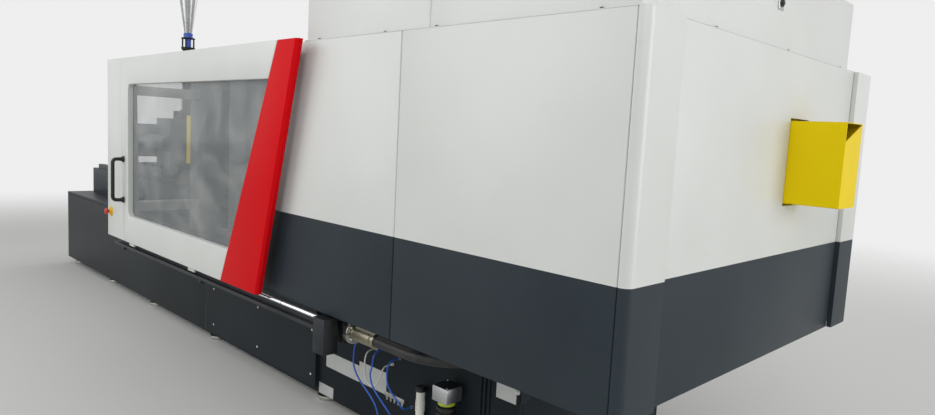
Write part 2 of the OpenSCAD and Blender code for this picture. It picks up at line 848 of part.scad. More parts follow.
// Fixed posts beside the gates, standing on the base and tied to the fixed platen
module gate_posts() {
    depth = gate_d + 70;
    color(white) both_sides() {
        difference() {
            wall(-gate_face, depth) polygon([
                [platen_x, cover_bottom], [post_edge(cover_bottom), cover_bottom],
                [post_edge(cover_top), cover_top], [platen_x, cover_top]
            ]);
            wall(-gate_face + sheet_t, depth) polygon([
                [platen_x + sheet_t, cover_bottom + sheet_t],
                [post_edge(cover_bottom) - sheet_t, cover_bottom + sheet_t],
                [post_edge(cover_top) - sheet_t, cover_top - sheet_t],
                [platen_x + sheet_t, cover_top - sheet_t]
            ]);
            // Way through for the upper channel
            slab([guide_x0 + 50, -side_y - 18, upper_rail_z - 5],
                 [platen_x + 400, -side_y + 30, upper_rail_z + 45]);
        }
        for (z = [axis - 380, axis + 380])
            slab([platen_x + 60, -gate_face + sheet_t - 1, z - 30], [platen_x + 160, -platen_w / 2, z + 30]);
    }
    // Lugs of the operator panel's pivot on the front post
    color(white) for (z = [panel_z - 20 - clear, panel_z + pivot_l + clear]) difference() {
        slab([platen_x - 42, gate_face - 42, z], [platen_x, gate_face - 18, z + 20]);
        translate([pivot_x, pivot_y, z - 1]) cylinder(d = pivot_d + 2 * fit_gap, h = 22);
    }
}

module estop_place() {
    translate([estop_x, -gate_face, estop_z]) rotate([90, 0, 0]) children();
}

module estop_bases() {
    color(yellow) both_sides() estop_place() difference() {
        union() {
            cylinder(d = estop_disc_d, h = 4);
            cylinder(d = 30, h = 16);
        }
        translate([0, 0, 4]) cylinder(d = 18 + 2 * fit_gap, h = 13);
    }
}

module estop_button() {
    color(red) estop_place() {
        translate([0, 0, 4 + estop_travel + 1]) cylinder(d = 18, h = 12);
        translate([0, 0, 17 + estop_travel]) cylinder(d = estop_head_d - 6, h = 16.5);
        translate([0, 0, 20 + estop_travel]) cylinder(d = estop_head_d, h = 10);
    }
}

module estop_button_rear() {
    estop_button();
}

module estop_button_front() {
    front_side() estop_button();
}

// Long box under the injection unit, with two straight rails on top
module injection_bed() {
    x0 = inj_end + 20;
    x1 = platen_x - nut_l - 30;
    bay = (x1 - x0 - 20) / 5;
    color(slate) difference() {
        slab([x0, -320, base_top], [x1, 320, bed_top]);
        for (i = [0:4])
            slab([x0 + 20 + i * bay, -300, base_top - 1], [x0 + i * bay + bay, 300, bed_top - 30]);
    }
    color(steel) for (y = [-250, 250])
        slab([x0 + 20, y - 25, bed_top], [x1 - 220, y + 25, sled_z - clear]);
    // Posts of the purge guard's hinge
    color(slate) for (x = [purge_lo.x - 25, purge_hi.x + 5]) difference() {
        slab([x, purge_pin_y - 10, bed_top], [x + 20, purge_pin_y + 10, purge_lo.z + 10]);
        bar_x(x - 1, x + 21, 10 + 2 * fit_gap, purge_pin_y, purge_lo.z);
    }
}

module control_cabinet() {
    lo = [inj_end + 60, base_w / 2, 150];
    hi = [inj_end + 1060, side_y - 25, 1750];
    color(white) difference() {
        slab(lo, hi);
        slab(lo + [3, 3, 3], [hi.x - 3, hi.y + 1, hi.z - 3]);
    }
    // Mounting plate inside, and the lugs and pins of the door's hinges
    color(slate) {
        slab([lo.x + 60, lo.y + 2, lo.z + 100], [hi.x - 60, lo.y + 8, hi.z - 100]);
        for (z = hinge_zs) {
            for (up = [-22, 81]) slab([hi.x, hi.y - 20, z + up], [hi.x + 14, side_y - 12, z + up + 21]);
            translate([hi.x + 6, side_y - 20, z - 22]) cylinder(d = 6, h = 124);
        }
    }
}

module cabinet_door() {
    x0 = inj_end + 60;
    y = side_y - 24;
    color(white) difference() {
        union() {
            slab([x0, y, 150], [x0 + 1000, y + 3, 1750]);
            for (z = hinge_zs) {
                translate([x0 + 1006, y + 4, z]) cylinder(d = 14, h = 80);
                slab([x0 + 980, y, z], [x0 + 1006, y + 3, z + 80]);
            }
            slab([x0 + 40, y + 2, 900], [x0 + 75, y + 20, 1060]);
        }
        for (z = hinge_zs) {
            translate([x0 + 1006, y + 4, z - 1]) cylinder(d = 6 + 2 * fit_gap, h = 82);
            // Notches beside the hinge's lugs
            for (up = [-24, 80.5]) slab([x0 + 986, y - 1, z + up], [x0 + 1001, y + 4, z + up + 23.5]);
        }
        bar_y(y - 1, y + 4, switch_shaft_d + 2 * fit_gap, switch_x, switch_z);
    }
}

module main_switch() {
    y = side_y - 21;
    color(red) {
        bar_y(y + 0.5, y + 12, 60, switch_x, switch_z);
        slab([switch_x - 12, y + 11, switch_z - 28], [switch_x + 12, y + 34, switch_z + 28]);
        // Shaft through the door and its collar behind
        bar_y(y - 15, y + 1, switch_shaft_d, switch_x, switch_z);
        bar_y(y - 15, y - 4, 24, switch_x, switch_z);
    }
}

// Operator panel on a swivel arm at the front post
module control_panel() {
    color(slate) {
        slab([platen_x - 440, gate_face - 50, panel_z - 60], [platen_x - 60, gate_face + 30, panel_z + 400]);
        translate([pivot_x, pivot_y, panel_z]) cylinder(d = 24, h = pivot_l);
        translate([pivot_x, pivot_y, panel_z - 20]) cylinder(d = pivot_d, h = pivot_l + 40);
        slab([platen_x - 61, pivot_y - 8, panel_z + 10], [pivot_x, pivot_y + 8, panel_z + pivot_l - 10]);
    }
    color(black)
        slab([platen_x - 405, gate_face + 29, panel_z + 160],
             [platen_x - 95, gate_face + 33, panel_z + 370]);
}

// Outline of the gate shell
module gate_outline(inset) {
    z0 = cover_bottom + inset;
    z1 = cover_top - inset;
    polygon([
        [post_edge(z0) + gate_gap + inset, z0], [stripe_left(z0) - 3 - inset, z0],
        [stripe_left(z1) - 3 - inset, z1], [post_edge(z1) + gate_gap + inset, z1]
    ]);
}

// Window opening, round at its left corners and cut by the stripe's slant
module window_outline(grow) {
    x0 = platen_x + window_left - grow;
    z0 = window_bottom - grow;
    z1 = window_top + grow;
    polygon(concat(
        arc([x0 + window_r, z0 + window_r], window_r, 180, 270, 8),
        [[stripe_left(z0) + 1, z0], [stripe_left(z1) + 1, z1]],
        arc([x0 + window_r, z1 - window_r], window_r, 90, 180, 8)
    ));
}

// Gate: folded shell, two tubes that also carry the stripe, and the shoes on the guide rod
module gate() {
    color(white) {
        difference() {
            wall(-gate_face, gate_d) difference() {
                gate_outline(0);
                window_outline(0);
            }
            wall(-gate_face + sheet_t, gate_d) difference() {
                gate_outline(sheet_t);
                window_outline(sheet_t);
            }
        }
        for (z = [cover_bottom + 60, cover_top - 100])
            slab([post_edge(z) + gate_gap + 1, -gate_back, z],
                 [stripe_right(z) - 25, -gate_back + tube, z + 40]);
        for (x = [shoe_x1, shoe_x2]) {
            slab([x - shoe_l / 2, -gate_back, guide_z - shoe_h / 2],
                 [x + shoe_l / 2, -gate_back + 8, cover_bottom + 61]);
            difference() {
                slab([x - shoe_l / 2, -gate_back, guide_z - shoe_h / 2],
                     [x + shoe_l / 2, -guide_y + 25, guide_z + shoe_h / 2]);
                bar_x(x - shoe_l, x + shoe_l, guide_d + 2 * fit_gap, -guide_y, guide_z);
                slab([x - shoe_l, -guide_y - 6, guide_z - shoe_h], [x + shoe_l, -guide_y + 6, guide_z]);
            }
        }
        // Upper guide block in its channel
        slab([shoe_x1, -gate_back, upper_rail_z - 20], [shoe_x1 + 60, -side_y - 18, upper_rail_z + 20]);
        slab([shoe_x1, -side_y - 19, upper_rail_z - 20], [shoe_x1 + 60, -side_y + 6, upper_rail_z - 8]);
        slab([shoe_x1, -side_y - 4, upper_rail_z - 9], [shoe_x1 + 60, -side_y + 6, upper_rail_z + 25]);
    }
}

module gate_stripe() {
    z0 = cover_bottom;
    z1 = cover_top;
    c = 12;
    color(red) difference() {
        union() {
            wall(-gate_face, gate_d) polygon([
                [stripe_left(z0), z0], [stripe_right(z0), z0],
                [stripe_right(z1), z1], [stripe_left(z1), z1]
            ]);
            wall(-gate_face + c, gate_d - c) polygon([
                [stripe_left(z0), z0], [stripe_right(z0) + c, z0],
                [stripe_right(z1) + c, z1], [stripe_left(z1), z1]
            ]);
        }
        wall(-gate_face + sheet_t, gate_d) polygon([
            [stripe_left(z0) + sheet_t, z0 + sheet_t], [stripe_right(z0) - sheet_t, z0 + sheet_t],
            [stripe_right(z1) - sheet_t, z1 - sheet_t], [stripe_left(z1) + sheet_t, z1 - sheet_t]
        ]);
    }
}

module gate_window() {
    z0 = window_bottom - 25;
    z1 = window_top + 25;
    x0 = platen_x + window_left - 25;
    color(steel, 0.35) wall(-gate_back, pane_t) polygon([
        [x0, z0], [stripe_right(z0) - 30, z0], [stripe_right(z1) - 30, z1], [x0, z1]
    ]);
}

// Bent pull handle on two round feet
module gate_handle() {
    y1 = -gate_face - grip_out;
    color(black) {
        for (z = [handle_z - handle_l / 2, handle_z + handle_l / 2]) {
            bar_y(-gate_face - 8, -gate_face, 40, handle_x, z);
            bar_y(y1, -gate_face - 7, grip_d, handle_x, z);
            translate([handle_x, y1, z]) sphere(d = grip_d);
        }
        translate([handle_x, y1, handle_z - handle_l / 2]) cylinder(d = grip_d, h = handle_l);
    }
}

module gate_rear() {
    gate();
}

module gate_stripe_rear() {
    gate_stripe();
}

module gate_window_rear() {
    gate_window();
}

module gate_handle_rear() {
    gate_handle();
}

module gate_front() {
    front_side() gate();
}

module gate_stripe_front() {
    front_side() gate_stripe();
}

module gate_window_front() {
    front_side() gate_window();
}

module gate_handle_front() {
    front_side() gate_handle();
}

// Moving platen with the ejector box cast on behind it
module moving_platen() {
    box = 560;
    color(iron) difference() {
        union() {
            platen_block(moving_x, ejector_x);
            slab([ejector_x - 1, -box / 2, axis - box / 2], [ram_x, box / 2, axis + box / 2]);
            for (y = [-rail_y, rail_y])
                slab([moving_x, y - rail_w / 2, rail_top + clear],
                     [ram_x, y + rail_w / 2, axis - platen_w / 2 + 60]);
        }
        tie_bores(moving_x, ejector_x);
        // Room of the ejector plate, open to both sides
        slab([ejector_x, -box / 2 - 1, axis - box / 2 + 70],
             [ejector_x + ejector_box, box / 2 + 1, axis + box / 2 - 70]);
        bar_x(moving_x - 1, ejector_x + 1, 50 + 2 * fit_gap, 0, axis);
        for (y = [-245, 245], z = [-245, 245])
            bar_x(moving_x - 1, moving_x + 45, 20, y, axis + z);
    }
}

module clamp_rams() {
    color(steel) {
        bar_x(ram_x, ram_end, ram_d, 0, axis);
        for (y = [-traverse_off, traverse_off])
            bar_x(ejector_x, cylinder_x + 20, traverse_rod, y, axis);
    }
}

module ejector() {
    color(steel) {
        slab([ejector_x + 180, -200, axis - 120], [ejector_x + 230, 200, axis + 120]);
        bar_x(moving_x + 5, ejector_x + 181, 50, 0, axis);
    }
}

// Carriage: slide plate and feed housing, with the two injection cylinders
module injection_housing() {
    color(iron) difference() {
        union() {
            slab([drive_x0 - 40, -300, sled_z], [housing_x1 + 40, 300, sled_z + sled_t]);
            slab([housing_x0, -housing_w / 2, sled_z + sled_t - 1],
                 [housing_x1, housing_w / 2, axis + housing_h]);
            for (y = [-inj_off, inj_off])
                bar_x(inj_cylinder_x0, inj_cylinder_x1, inj_cylinder_d, y, axis);
        }
        bar_x(housing_x0 - 1, housing_x1 + 1, screw_d + 2, 0, axis);
        bar_x(hopper_x, housing_x1 + 1, barrel_d + 2 * fit_gap, 0, axis);
        translate([hopper_x, 0, axis]) cylinder(d = 70, h = housing_h + 1);
        for (y = [-inj_off, inj_off])
            bar_x(inj_cylinder_x0 - 1, inj_cylinder_x1 - 20, inj_rod_d + 2 * fit_gap, y, axis);
    }
    color(steel) for (y = [-carriage_rod_y, carriage_rod_y])
        bar_x(housing_x1, housing_x1 + carriage_rod_l, carriage_rod_d, y, carriage_rod_z);
}

module barrel() {
    color(steel) difference() {
        union() {
            bar_x(hopper_x + 40, platen_x + 60, barrel_d, 0, axis);
            bar_x(platen_x + 59, platen_x + 100, barrel_d - 20, 0, axis);
            bar_x(platen_x + 99, nozzle_tip, 60, 0, axis);
        }
        bar_x(hopper_x + 39, platen_x + 60, screw_d + 2 * fit_gap, 0, axis);
        bar_x(platen_x + 59, nozzle_tip + 1, 12, 0, axis);
    }
}

module heater_bands() {
    first = housing_x1 + 60;
    color(steel) for (i = [0:5]) difference() {
        bar_x(first + 150 * i, first + 150 * i + 130, barrel_d + 16, 0, axis);
        bar_x(first + 150 * i - 1, first + 150 * i + 131, barrel_d + 2 * fit_gap, 0, axis);
    }
}

module screw() {
    color(steel) {
        bar_x(drive_x1 - shaft_in, screw_tip, screw_d - 14, 0, axis);
        bar_x(housing_x1 + 60, screw_tip, screw_d - 1, 0, axis);
        bar_x(drive_x1, drive_x1 + 30, screw_d + 40, 0, axis);
    }
}

module screw_drive() {
    color(iron) difference() {
        union() {
            slab([drive_x0, -330, axis - 150], [drive_x1 - clear, 330, axis + 150]);
            bar_x(motor_x0, drive_x0 + 1, 280, 0, axis);
            for (y = [-inj_off, inj_off])
                bar_x(drive_x1 - 1, inj_cylinder_x1 - 20 - screw_stroke / 2, inj_rod_d, y, axis);
        }
        bar_x(drive_x1 - shaft_in - clear, drive_x1 + 1, screw_d - 14 + 2 * fit_gap, 0, axis);
    }
}

// Slide gate block, pipe and cage under the hopper
module hopper_neck() {
    z0 = axis + housing_h;
    color(black) translate([hopper_x, 0, 0]) difference() {
        union() {
            translate([-90, -90, z0]) cube([180, 180, 70]);
            translate([0, 0, z0 + 69]) cylinder(d = 90, h = cage_z - z0 - 68);
            translate([0, 0, cage_z]) cylinder(d = 116, h = cone_z - cage_z - 40);
            translate([0, 0, cone_z - 41]) cylinder(d = cone_foot_d + 14, h = 41);
        }
        translate([0, 0, z0 - 1]) cylinder(d = cone_foot_d - 8, h = cone_z - z0 + 2);
    }
}

// Steel cone with the round receiver and its suction port
module hopper() {
    color(steel) translate([hopper_x, 0, 0]) difference() {
        union() {
            translate([0, 0, cone_z]) cylinder(d1 = cone_foot_d, d2 = 160, h = cone_h + 1);
            translate([0, 0, hopper_z0]) cylinder(d = hopper_d, h = hopper_h);
            translate([0, 0, hopper_z0 + hopper_h / 2]) rotate([0, -90, 0])
                cylinder(d = 50, h = hopper_d / 2 + 70);
            // Ears of the lid's hinge
            for (x = [-45, 33]) {
                slab([x, hopper_d / 2 - 12, hopper_top - hinge_drop],
                     [x + 12, lid_pin_y + 10, hopper_top - 4]);
                slab([x, hopper_d / 2 + 7, hopper_top - 5], [x + 12, lid_pin_y + 10, hopper_top + 16]);
            }
        }
        bar_x(-50, 50, lid_pin_d + 2 * fit_gap, lid_pin_y, hopper_top + clear + lid_pin_up);
        translate([0, 0, cone_z - 1]) cylinder(d1 = cone_foot_d - 6, d2 = 154, h = cone_h + 5);
        translate([0, 0, hopper_z0 + 3]) cylinder(d = hopper_d - 6, h = hopper_h);
        translate([-hopper_d / 2 - 71, 0, hopper_z0 + hopper_h / 2]) rotate([0, 90, 0])
            cylinder(d = 44, h = 90);
    }
}

module hopper_lid() {
    color(steel) translate([hopper_x, 0, hopper_top + clear]) {
        cylinder(d = hopper_d + 10, h = 4);
        translate([0, 0, 3]) cylinder(d = 120, h = 90);
        slab([-30, hopper_d / 2 - 4, 0], [30, lid_pin_y + 8, 2 * lid_pin_up]);
        bar_x(-45, 45, lid_pin_d, lid_pin_y, lid_pin_up);
    }
}

// Sheet hood over the nozzle, hinged on a pin along its front side
module purge_guard() {
    color(yellow) {
        difference() {
            slab(purge_lo, purge_hi);
            slab([purge_lo.x - 1, purge_lo.y + sheet_t, purge_lo.z - 1],
                 [purge_hi.x + 1, purge_hi.y - sheet_t, purge_hi.z - sheet_t]);
        }
        slab([purge_lo.x, purge_hi.y - 1, purge_lo.z - 4], [purge_hi.x, purge_pin_y, purge_lo.z + 4]);
        bar_x(purge_lo.x - 25, purge_hi.x + 25, 10, purge_pin_y, purge_lo.z);
    }
}

base_sides();
base_ribs();
base_top_plate();
base_covers();
levelling_feet();
platen_rails();
stationary_platen();
cylinder_platen();
tie_bars();
tie_bar_nuts();
platen_cylinders();
prefill_valve();
oil_tank();
pump_unit();
valve_block();
hose_fitting();
clamp_hose();
lube_lines();
sensor_cable();
gate_rails();
guide_rods();
cover_frame();
cover_rear_a();
cover_rear_b();
corner_rear();
end_panel();
corner_front();
cover_front();
top_hood_a();
top_hood_b();
end_guard();
gate_posts();
estop_bases();
injection_bed();
control_cabinet();
gate_rear();
gate_stripe_rear();
gate_window_rear();
gate_handle_rear();
gate_front();
gate_stripe_front();
gate_window_front();
gate_handle_front();
moving_platen();
clamp_rams();
ejector();
estop_button_rear();
estop_button_front();
injection_housing();
barrel();
heater_bands();
screw();
screw_drive();
hopper_neck();
hopper();
hopper_lid();
purge_guard();
cabinet_door();
main_switch();
control_panel();
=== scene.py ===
import json
import math

import bmesh
import bpy
from mathutils import Matrix, Vector

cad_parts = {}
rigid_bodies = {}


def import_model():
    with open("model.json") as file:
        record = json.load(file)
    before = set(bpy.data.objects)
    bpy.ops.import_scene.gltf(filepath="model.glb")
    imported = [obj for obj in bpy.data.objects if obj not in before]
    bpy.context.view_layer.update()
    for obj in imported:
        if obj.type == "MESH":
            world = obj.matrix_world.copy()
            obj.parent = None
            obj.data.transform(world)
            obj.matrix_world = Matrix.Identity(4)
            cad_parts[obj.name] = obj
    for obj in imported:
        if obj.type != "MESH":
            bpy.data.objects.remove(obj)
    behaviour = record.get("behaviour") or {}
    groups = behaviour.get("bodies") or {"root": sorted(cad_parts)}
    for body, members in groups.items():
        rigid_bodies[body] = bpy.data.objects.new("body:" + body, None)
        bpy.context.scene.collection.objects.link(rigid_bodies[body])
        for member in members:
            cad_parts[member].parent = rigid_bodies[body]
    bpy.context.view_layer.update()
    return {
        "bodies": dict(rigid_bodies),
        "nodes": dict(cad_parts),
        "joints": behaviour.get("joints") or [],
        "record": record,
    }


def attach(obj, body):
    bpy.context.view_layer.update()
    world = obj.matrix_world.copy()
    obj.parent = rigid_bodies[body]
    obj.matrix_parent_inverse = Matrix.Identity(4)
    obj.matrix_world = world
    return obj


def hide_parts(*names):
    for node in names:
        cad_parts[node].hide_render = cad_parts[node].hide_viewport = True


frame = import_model()
scene = bpy.context.scene
print("frame loaded with", len(frame["nodes"]), "nodes")

east, north, sky = Vector((1, 0, 0)), Vector((0, 1, 0)), Vector((0, 0, 1))

# camera

view = {"place": (4.236, -2.566, 1.5), "yaw": 134.88, "pitch": -6.11, "roll": 3.01, "lens": 26.39}


def addCamera(values):
    yaw, pitch, roll = (math.radians(values[key]) for key in ("yaw", "pitch", "roll"))
    ahead = Vector((math.cos(pitch) * math.cos(yaw), math.cos(pitch) * math.sin(yaw), math.sin(pitch)))
    side = ahead.cross(sky).normalized()
    above = side.cross(ahead)
    right = math.cos(roll) * side + math.sin(roll) * above
    up = math.cos(roll) * above - math.sin(roll) * side
    turn = Matrix((right, up, -ahead)).transposed()
    bpy.ops.object.camera_add(location=values["place"], rotation=turn.to_euler())
    camera = bpy.context.object
    camera.name = "camera"
    camera.data.lens = values["lens"]
    camera.data.sensor_width = 36
    camera.data.clip_end = 60
    scene.camera = camera


addCamera(view)

# materials


def srgb(code):
    parts = [int(code[i:i + 2], 16) / 255 for i in (1, 3, 5)]
    return tuple(c / 12.92 if c <= 0.04045 else ((c + 0.055) / 1.055) ** 2.4 for c in parts) + (1.0,)


# A link starts at a socket, or at a node's first output
def addNode(tree, kind, settings=None, links=None):
    node = tree.nodes.new("ShaderNode" + kind)
    for key, value in (settings or {}).items():
        if isinstance(key, int) or key in node.inputs:
            node.inputs[key].default_value = value
        else:
            setattr(node, key, value)
    for key, source in (links or {}).items():
        tree.links.new(getattr(source, "outputs", [source])[0], node.inputs[key])
    return node


def startMaterial(name):
    material = bpy.data.materials.new(name)
    material.use_nodes = True
    tree = material.node_tree
    tree.nodes.clear()
    return material, tree, addNode(tree, "TexCoord").outputs["Object"]


def finishMaterial(material, shader, links):
    surface = addNode(material.node_tree, "BsdfPrincipled", shader, links)
    addNode(material.node_tree, "OutputMaterial", {}, {"Surface": surface})
    return material


eased = {"interpolation_type": "SMOOTHSTEP"}


# Powder coat on folded sheet: an even satin skin with fine orange peel, wide faint handling marks
# and short scuffs that are a little duller. The peel is about 2 mm, drawn 6 mm wide to show.
def powderCoat(name, colour, marked, roughness, gloss=0.5, scuffs=0.5):
    material, tree, place = startMaterial(name)
    cloud = addNode(tree, "TexNoise", {"Scale": 1.4, "Detail": 4.0}, {"Vector": place})
    stretch = addNode(tree, "Mapping", {"Scale": (3.0, 3.0, 26.0), "Rotation": (0.5, 0.3, 0.2)}, {"Vector": place})
    rub = addNode(tree, "TexNoise", {"Scale": 2.2, "Detail": 6.0, "Roughness": 0.7}, {"Vector": stretch})
    grain = addNode(tree, "TexNoise", {"Scale": 160.0, "Detail": 2.0}, {"Vector": place})
    shade = addNode(tree, "MapRange", {**eased, "From Min": 0.35, "From Max": 0.75, "To Max": 0.6}, {"Value": cloud})
    worn = addNode(tree, "MapRange", {**eased, "From Min": 0.62, "From Max": 0.78}, {"Value": rub})
    share = addNode(tree, "MapRange", {"To Max": scuffs}, {"Value": worn})
    rough = addNode(tree, "MapRange", {"To Min": roughness, "To Max": roughness + 0.16}, {"Value": worn})
    soft = addNode(tree, "Mix", {"data_type": "RGBA", 6: srgb(colour), 7: srgb(marked)}, {0: shade})
    final = addNode(tree, "Mix", {"data_type": "RGBA", 7: srgb(marked)}, {0: share, 6: soft.outputs[2]})
    peel = addNode(tree, "Bump", {"Distance": 0.0002, "Strength": 0.5}, {"Height": grain})
    return finishMaterial(material, {"IOR": 1.5, "Specular IOR Level": gloss},
                          {"Base Color": final.outputs[2], "Roughness": rough, "Normal": peel})


whiteCoat = powderCoat("powder coated steel white", "#D6D8D5", "#CACCC8", 0.34)
slateCoat = powderCoat("powder coated steel slate", "#2B3339", "#384046", 0.42, 0.15, 0.9)
# Slate darkened as painted shade, for the base, its covers and uprights, which lie in shadow under the gates and side
# covers
shadedSlateCoat = powderCoat("powder coated steel slate with painted shade", "#1B2125", "#2A3136", 0.42, 0.12, 0.9)
redCoat = powderCoat("powder coated steel red", "#D60A14", "#C40911", 0.4, 0.05)
yellowCoat = powderCoat("powder coated steel yellow", "#F2D600", "#E4C400", 0.4, 0.12)
blackCoat = powderCoat("powder coated steel black", "#17191B", "#242628", 0.42, 0.2, 0.8)


# Sprayed machine enamel over a sand cast body: soft lumps a few centimetres wide, under a satin gloss
def castIron():
    material, tree, place = startMaterial("enamelled cast iron")
    lump = addNode(tree, "TexNoise", {"Scale": 38.0, "Detail": 3.0}, {"Vector": place})
    sand = addNode(tree, "TexNoise", {"Scale": 260.0, "Detail": 2.0}, {"Vector": place})
    dust = addNode(tree, "TexNoise", {"Scale": 3.0, "Detail": 5.0}, {"Vector": place})
    worn = addNode(tree, "MapRange", {**eased, "From Min": 0.42, "From Max": 0.7}, {"Value": dust})
    rough = addNode(tree, "MapRange", {"To Min": 0.38, "To Max": 0.6}, {"Value": worn})
    colour = addNode(tree, "Mix", {"data_type": "RGBA", 6: srgb("#5A6167"), 7: srgb("#6C7276")}, {0: worn})
    both = addNode(tree, "Math", {"operation": "MULTIPLY_ADD", 1: 0.35}, {0: sand, 2: lump})
    relief = addNode(tree, "Bump", {"Distance": 0.0008, "Strength": 0.6}, {"Height": both})
    return finishMaterial(material, {"IOR": 1.5},
                          {"Base Color": colour.outputs[2], "Roughness": rough, "Normal": relief})


# Bare metal with a direction left by the tool: streaks run along one axis and stretch the gloss.
# The real scratches are 0.05 mm apart, drawn about 1 mm apart so that they show.
def wroughtMetal(name, colour, dull, roughness, along, spacing=0.001, depth=0.00005):
    material, tree, place = startMaterial(name)
    fine = tuple(2.0 if axis == along else 1 / spacing / 2 for axis in range(3))
    stretch = addNode(tree, "Mapping", {"Scale": fine}, {"Vector": place})
    streak = addNode(tree, "TexNoise", {"Scale": 1.0, "Detail": 3.0}, {"Vector": stretch})
    stain = addNode(tree, "TexNoise", {"Scale": 7.0, "Detail": 5.0}, {"Vector": place})
    share = addNode(tree, "MapRange", {**eased, "From Min": 0.45, "From Max": 0.75}, {"Value": stain})
    rough = addNode(tree, "MapRange", {"To Min": roughness - 0.08, "To Max": roughness + 0.12}, {"Value": streak})
    tint = addNode(tree, "Mix", {"data_type": "RGBA", 6: srgb(colour), 7: srgb(dull)}, {0: share})
    relief = addNode(tree, "Bump", {"Distance": depth, "Strength": 0.6}, {"Height": streak})
    return finishMaterial(material, {"Metallic": 1.0},
                          {"Base Color": tint.outputs[2], "Roughness": rough, "Normal": relief})


groundSteel = wroughtMetal("ground steel", "#B4B6B6", "#9A9B99", 0.34, 2)
turnedSteel = wroughtMetal("turned steel", "#B2B3B1", "#8E8D89", 0.36, 1)
hardChrome = wroughtMetal("hard chrome", "#C9CCCE", "#B9BBBC", 0.16, 0, 0.002, 0.00001)
brushedAluminium = wroughtMetal("brushed aluminium", "#C3C6C8", "#AEB1B3", 0.36, 0, 0.0015, 0.00008)
stainlessSheet = wroughtMetal("stainless sheet", "#B8BABA", "#A4A6A5", 0.28, 0, 0.002)
darkAluminium = wroughtMetal("dark anodised aluminium", "#3E4145", "#303236", 0.42, 0, 0.002, 0.00008)
zincYellow = wroughtMetal("yellow passivated zinc", "#A09B86", "#777261", 0.34, 1, 0.0015)


# Zinc plate with clear passivation: pale grey with faint cloudy crystals a few millimetres wide
def zincPlate():
    material, tree, place = startMaterial("zinc plated steel")
    cells = addNode(tree, "TexVoronoi", {"Scale": 160.0}, {"Vector": place})
    cloud = addNode(tree, "TexNoise", {"Scale": 20.0, "Detail": 3.0}, {"Vector": place})
    rough = addNode(tree, "MapRange", {"To Min": 0.32, "To Max": 0.5}, {"Value": cells})
    colour = addNode(tree, "Mix", {"data_type": "RGBA", 6: srgb("#A9A89F"), 7: srgb("#C6C7C2")}, {0: cloud})
    relief = addNode(tree, "Bump", {"Distance": 0.00004, "Strength": 0.5}, {"Height": cells})
    return finishMaterial(material, {"Metallic": 1.0},
                          {"Base Color": colour.outputs[2], "Roughness": rough, "Normal": relief})


# Moulded plastic: a fine spark-eroded grain, about 0.3 mm, drawn 2 mm wide, and a soft sheen
def mouldedPlastic(name, colour, roughness):
    material, tree, place = startMaterial(name)
    fine = addNode(tree, "TexNoise", {"Scale": 500.0, "Detail": 2.0}, {"Vector": place})
    broad = addNode(tree, "TexNoise", {"Scale": 9.0, "Detail": 3.0}, {"Vector": place})
    tone = srgb(colour)
    worn = tuple(min(1.0, c * 1.25 + 0.004) for c in tone[:3]) + (1.0,)
    share = addNode(tree, "MapRange", {**eased, "From Min": 0.4, "From Max": 0.8}, {"Value": broad})
    rough = addNode(tree, "MapRange", {"To Min": roughness - 0.05, "To Max": roughness + 0.08}, {"Value": broad})
    tint = addNode(tree, "Mix", {"data_type": "RGBA", 6: tone, 7: worn}, {0: share})
    relief = addNode(tree, "Bump", {"Distance": 0.00008, "Strength": 0.5}, {"Height": fine})
    return finishMaterial(material, {"IOR": 1.49},
                          {"Base Color": tint.outputs[2], "Roughness": rough, "Normal": relief})


blackNylon = mouldedPlastic("glass filled nylon black", "#161718", 0.5)
redPlastic = mouldedPlastic("moulded plastic red", "#C3161B", 0.28)
yellowPlastic = mouldedPlastic("moulded plastic yellow", "#E2BC08", 0.34)
bluePlastic = mouldedPlastic("blue nylon fitting", "#2450B4", 0.35)
greenPlastic = mouldedPlastic("moulded plastic lime", "#A8B82A", 0.35)
tubeBlue = mouldedPlastic("polyurethane tube blue", "#2F63C9", 0.3)
cableWhite = mouldedPlastic("cable jacket white", "#D9D9D2", 0.42)
filterWhite = mouldedPlastic("moulded plastic white", "#DCDCD6", 0.38)
ceramicWhite = mouldedPlastic("steatite ceramic", "#D8D2C2", 0.45)
screenGlass = mouldedPlastic("dark screen glass", "#14181C", 0.12)
keyGrey = mouldedPlastic("silicone keys grey", "#8E9496", 0.5)


# Rubber cover of a steel braided hose: matt, with the wrap marks of the curing tape 12 mm apart
def hoseRubber():
    material, tree, place = startMaterial("hose rubber")
    wrap = addNode(tree, "TexWave", {"Scale": 26.0, "Distortion": 0.6, "Detail": 1.0}, {"Vector": place})
    dust = addNode(tree, "TexNoise", {"Scale": 12.0, "Detail": 6.0}, {"Vector": place})
    share = addNode(tree, "MapRange", {**eased, "From Min": 0.45, "From Max": 0.75}, {"Value": dust})
    rough = addNode(tree, "MapRange", {"To Min": 0.42, "To Max": 0.62}, {"Value": dust})
    colour = addNode(tree, "Mix", {"data_type": "RGBA", 6: srgb("#18191A"), 7: srgb("#303132")}, {0: share})
    relief = addNode(tree, "Bump", {"Distance": 0.0004, "Strength": 0.5}, {"Height": wrap.outputs["Fac"]})
    return finishMaterial(material, {"IOR": 1.52},
                          {"Base Color": colour.outputs[2], "Roughness": rough, "Normal": relief})


# Cast polycarbonate pane, 5 mm, smoked by oil mist: a plain see-through share, with faint wiping arcs
def polycarbonate():
    material, tree, place = startMaterial("polycarbonate pane")
    wipe = addNode(tree, "TexNoise", {"Scale": 2.5, "Detail": 6.0, "Distortion": 1.5}, {"Vector": place})
    film = addNode(tree, "MapRange", {**eased, "From Min": 0.4, "From Max": 0.75}, {"Value": wipe})
    rough = addNode(tree, "MapRange", {"To Min": 0.06, "To Max": 0.22}, {"Value": film})
    colour = addNode(tree, "Mix", {"data_type": "RGBA", 6: srgb("#8E9394"), 7: srgb("#B4B7B5")}, {0: film})
    return finishMaterial(material, {"IOR": 1.585, "Alpha": 0.4}, {"Base Color": colour.outputs[2], "Roughness": rough})


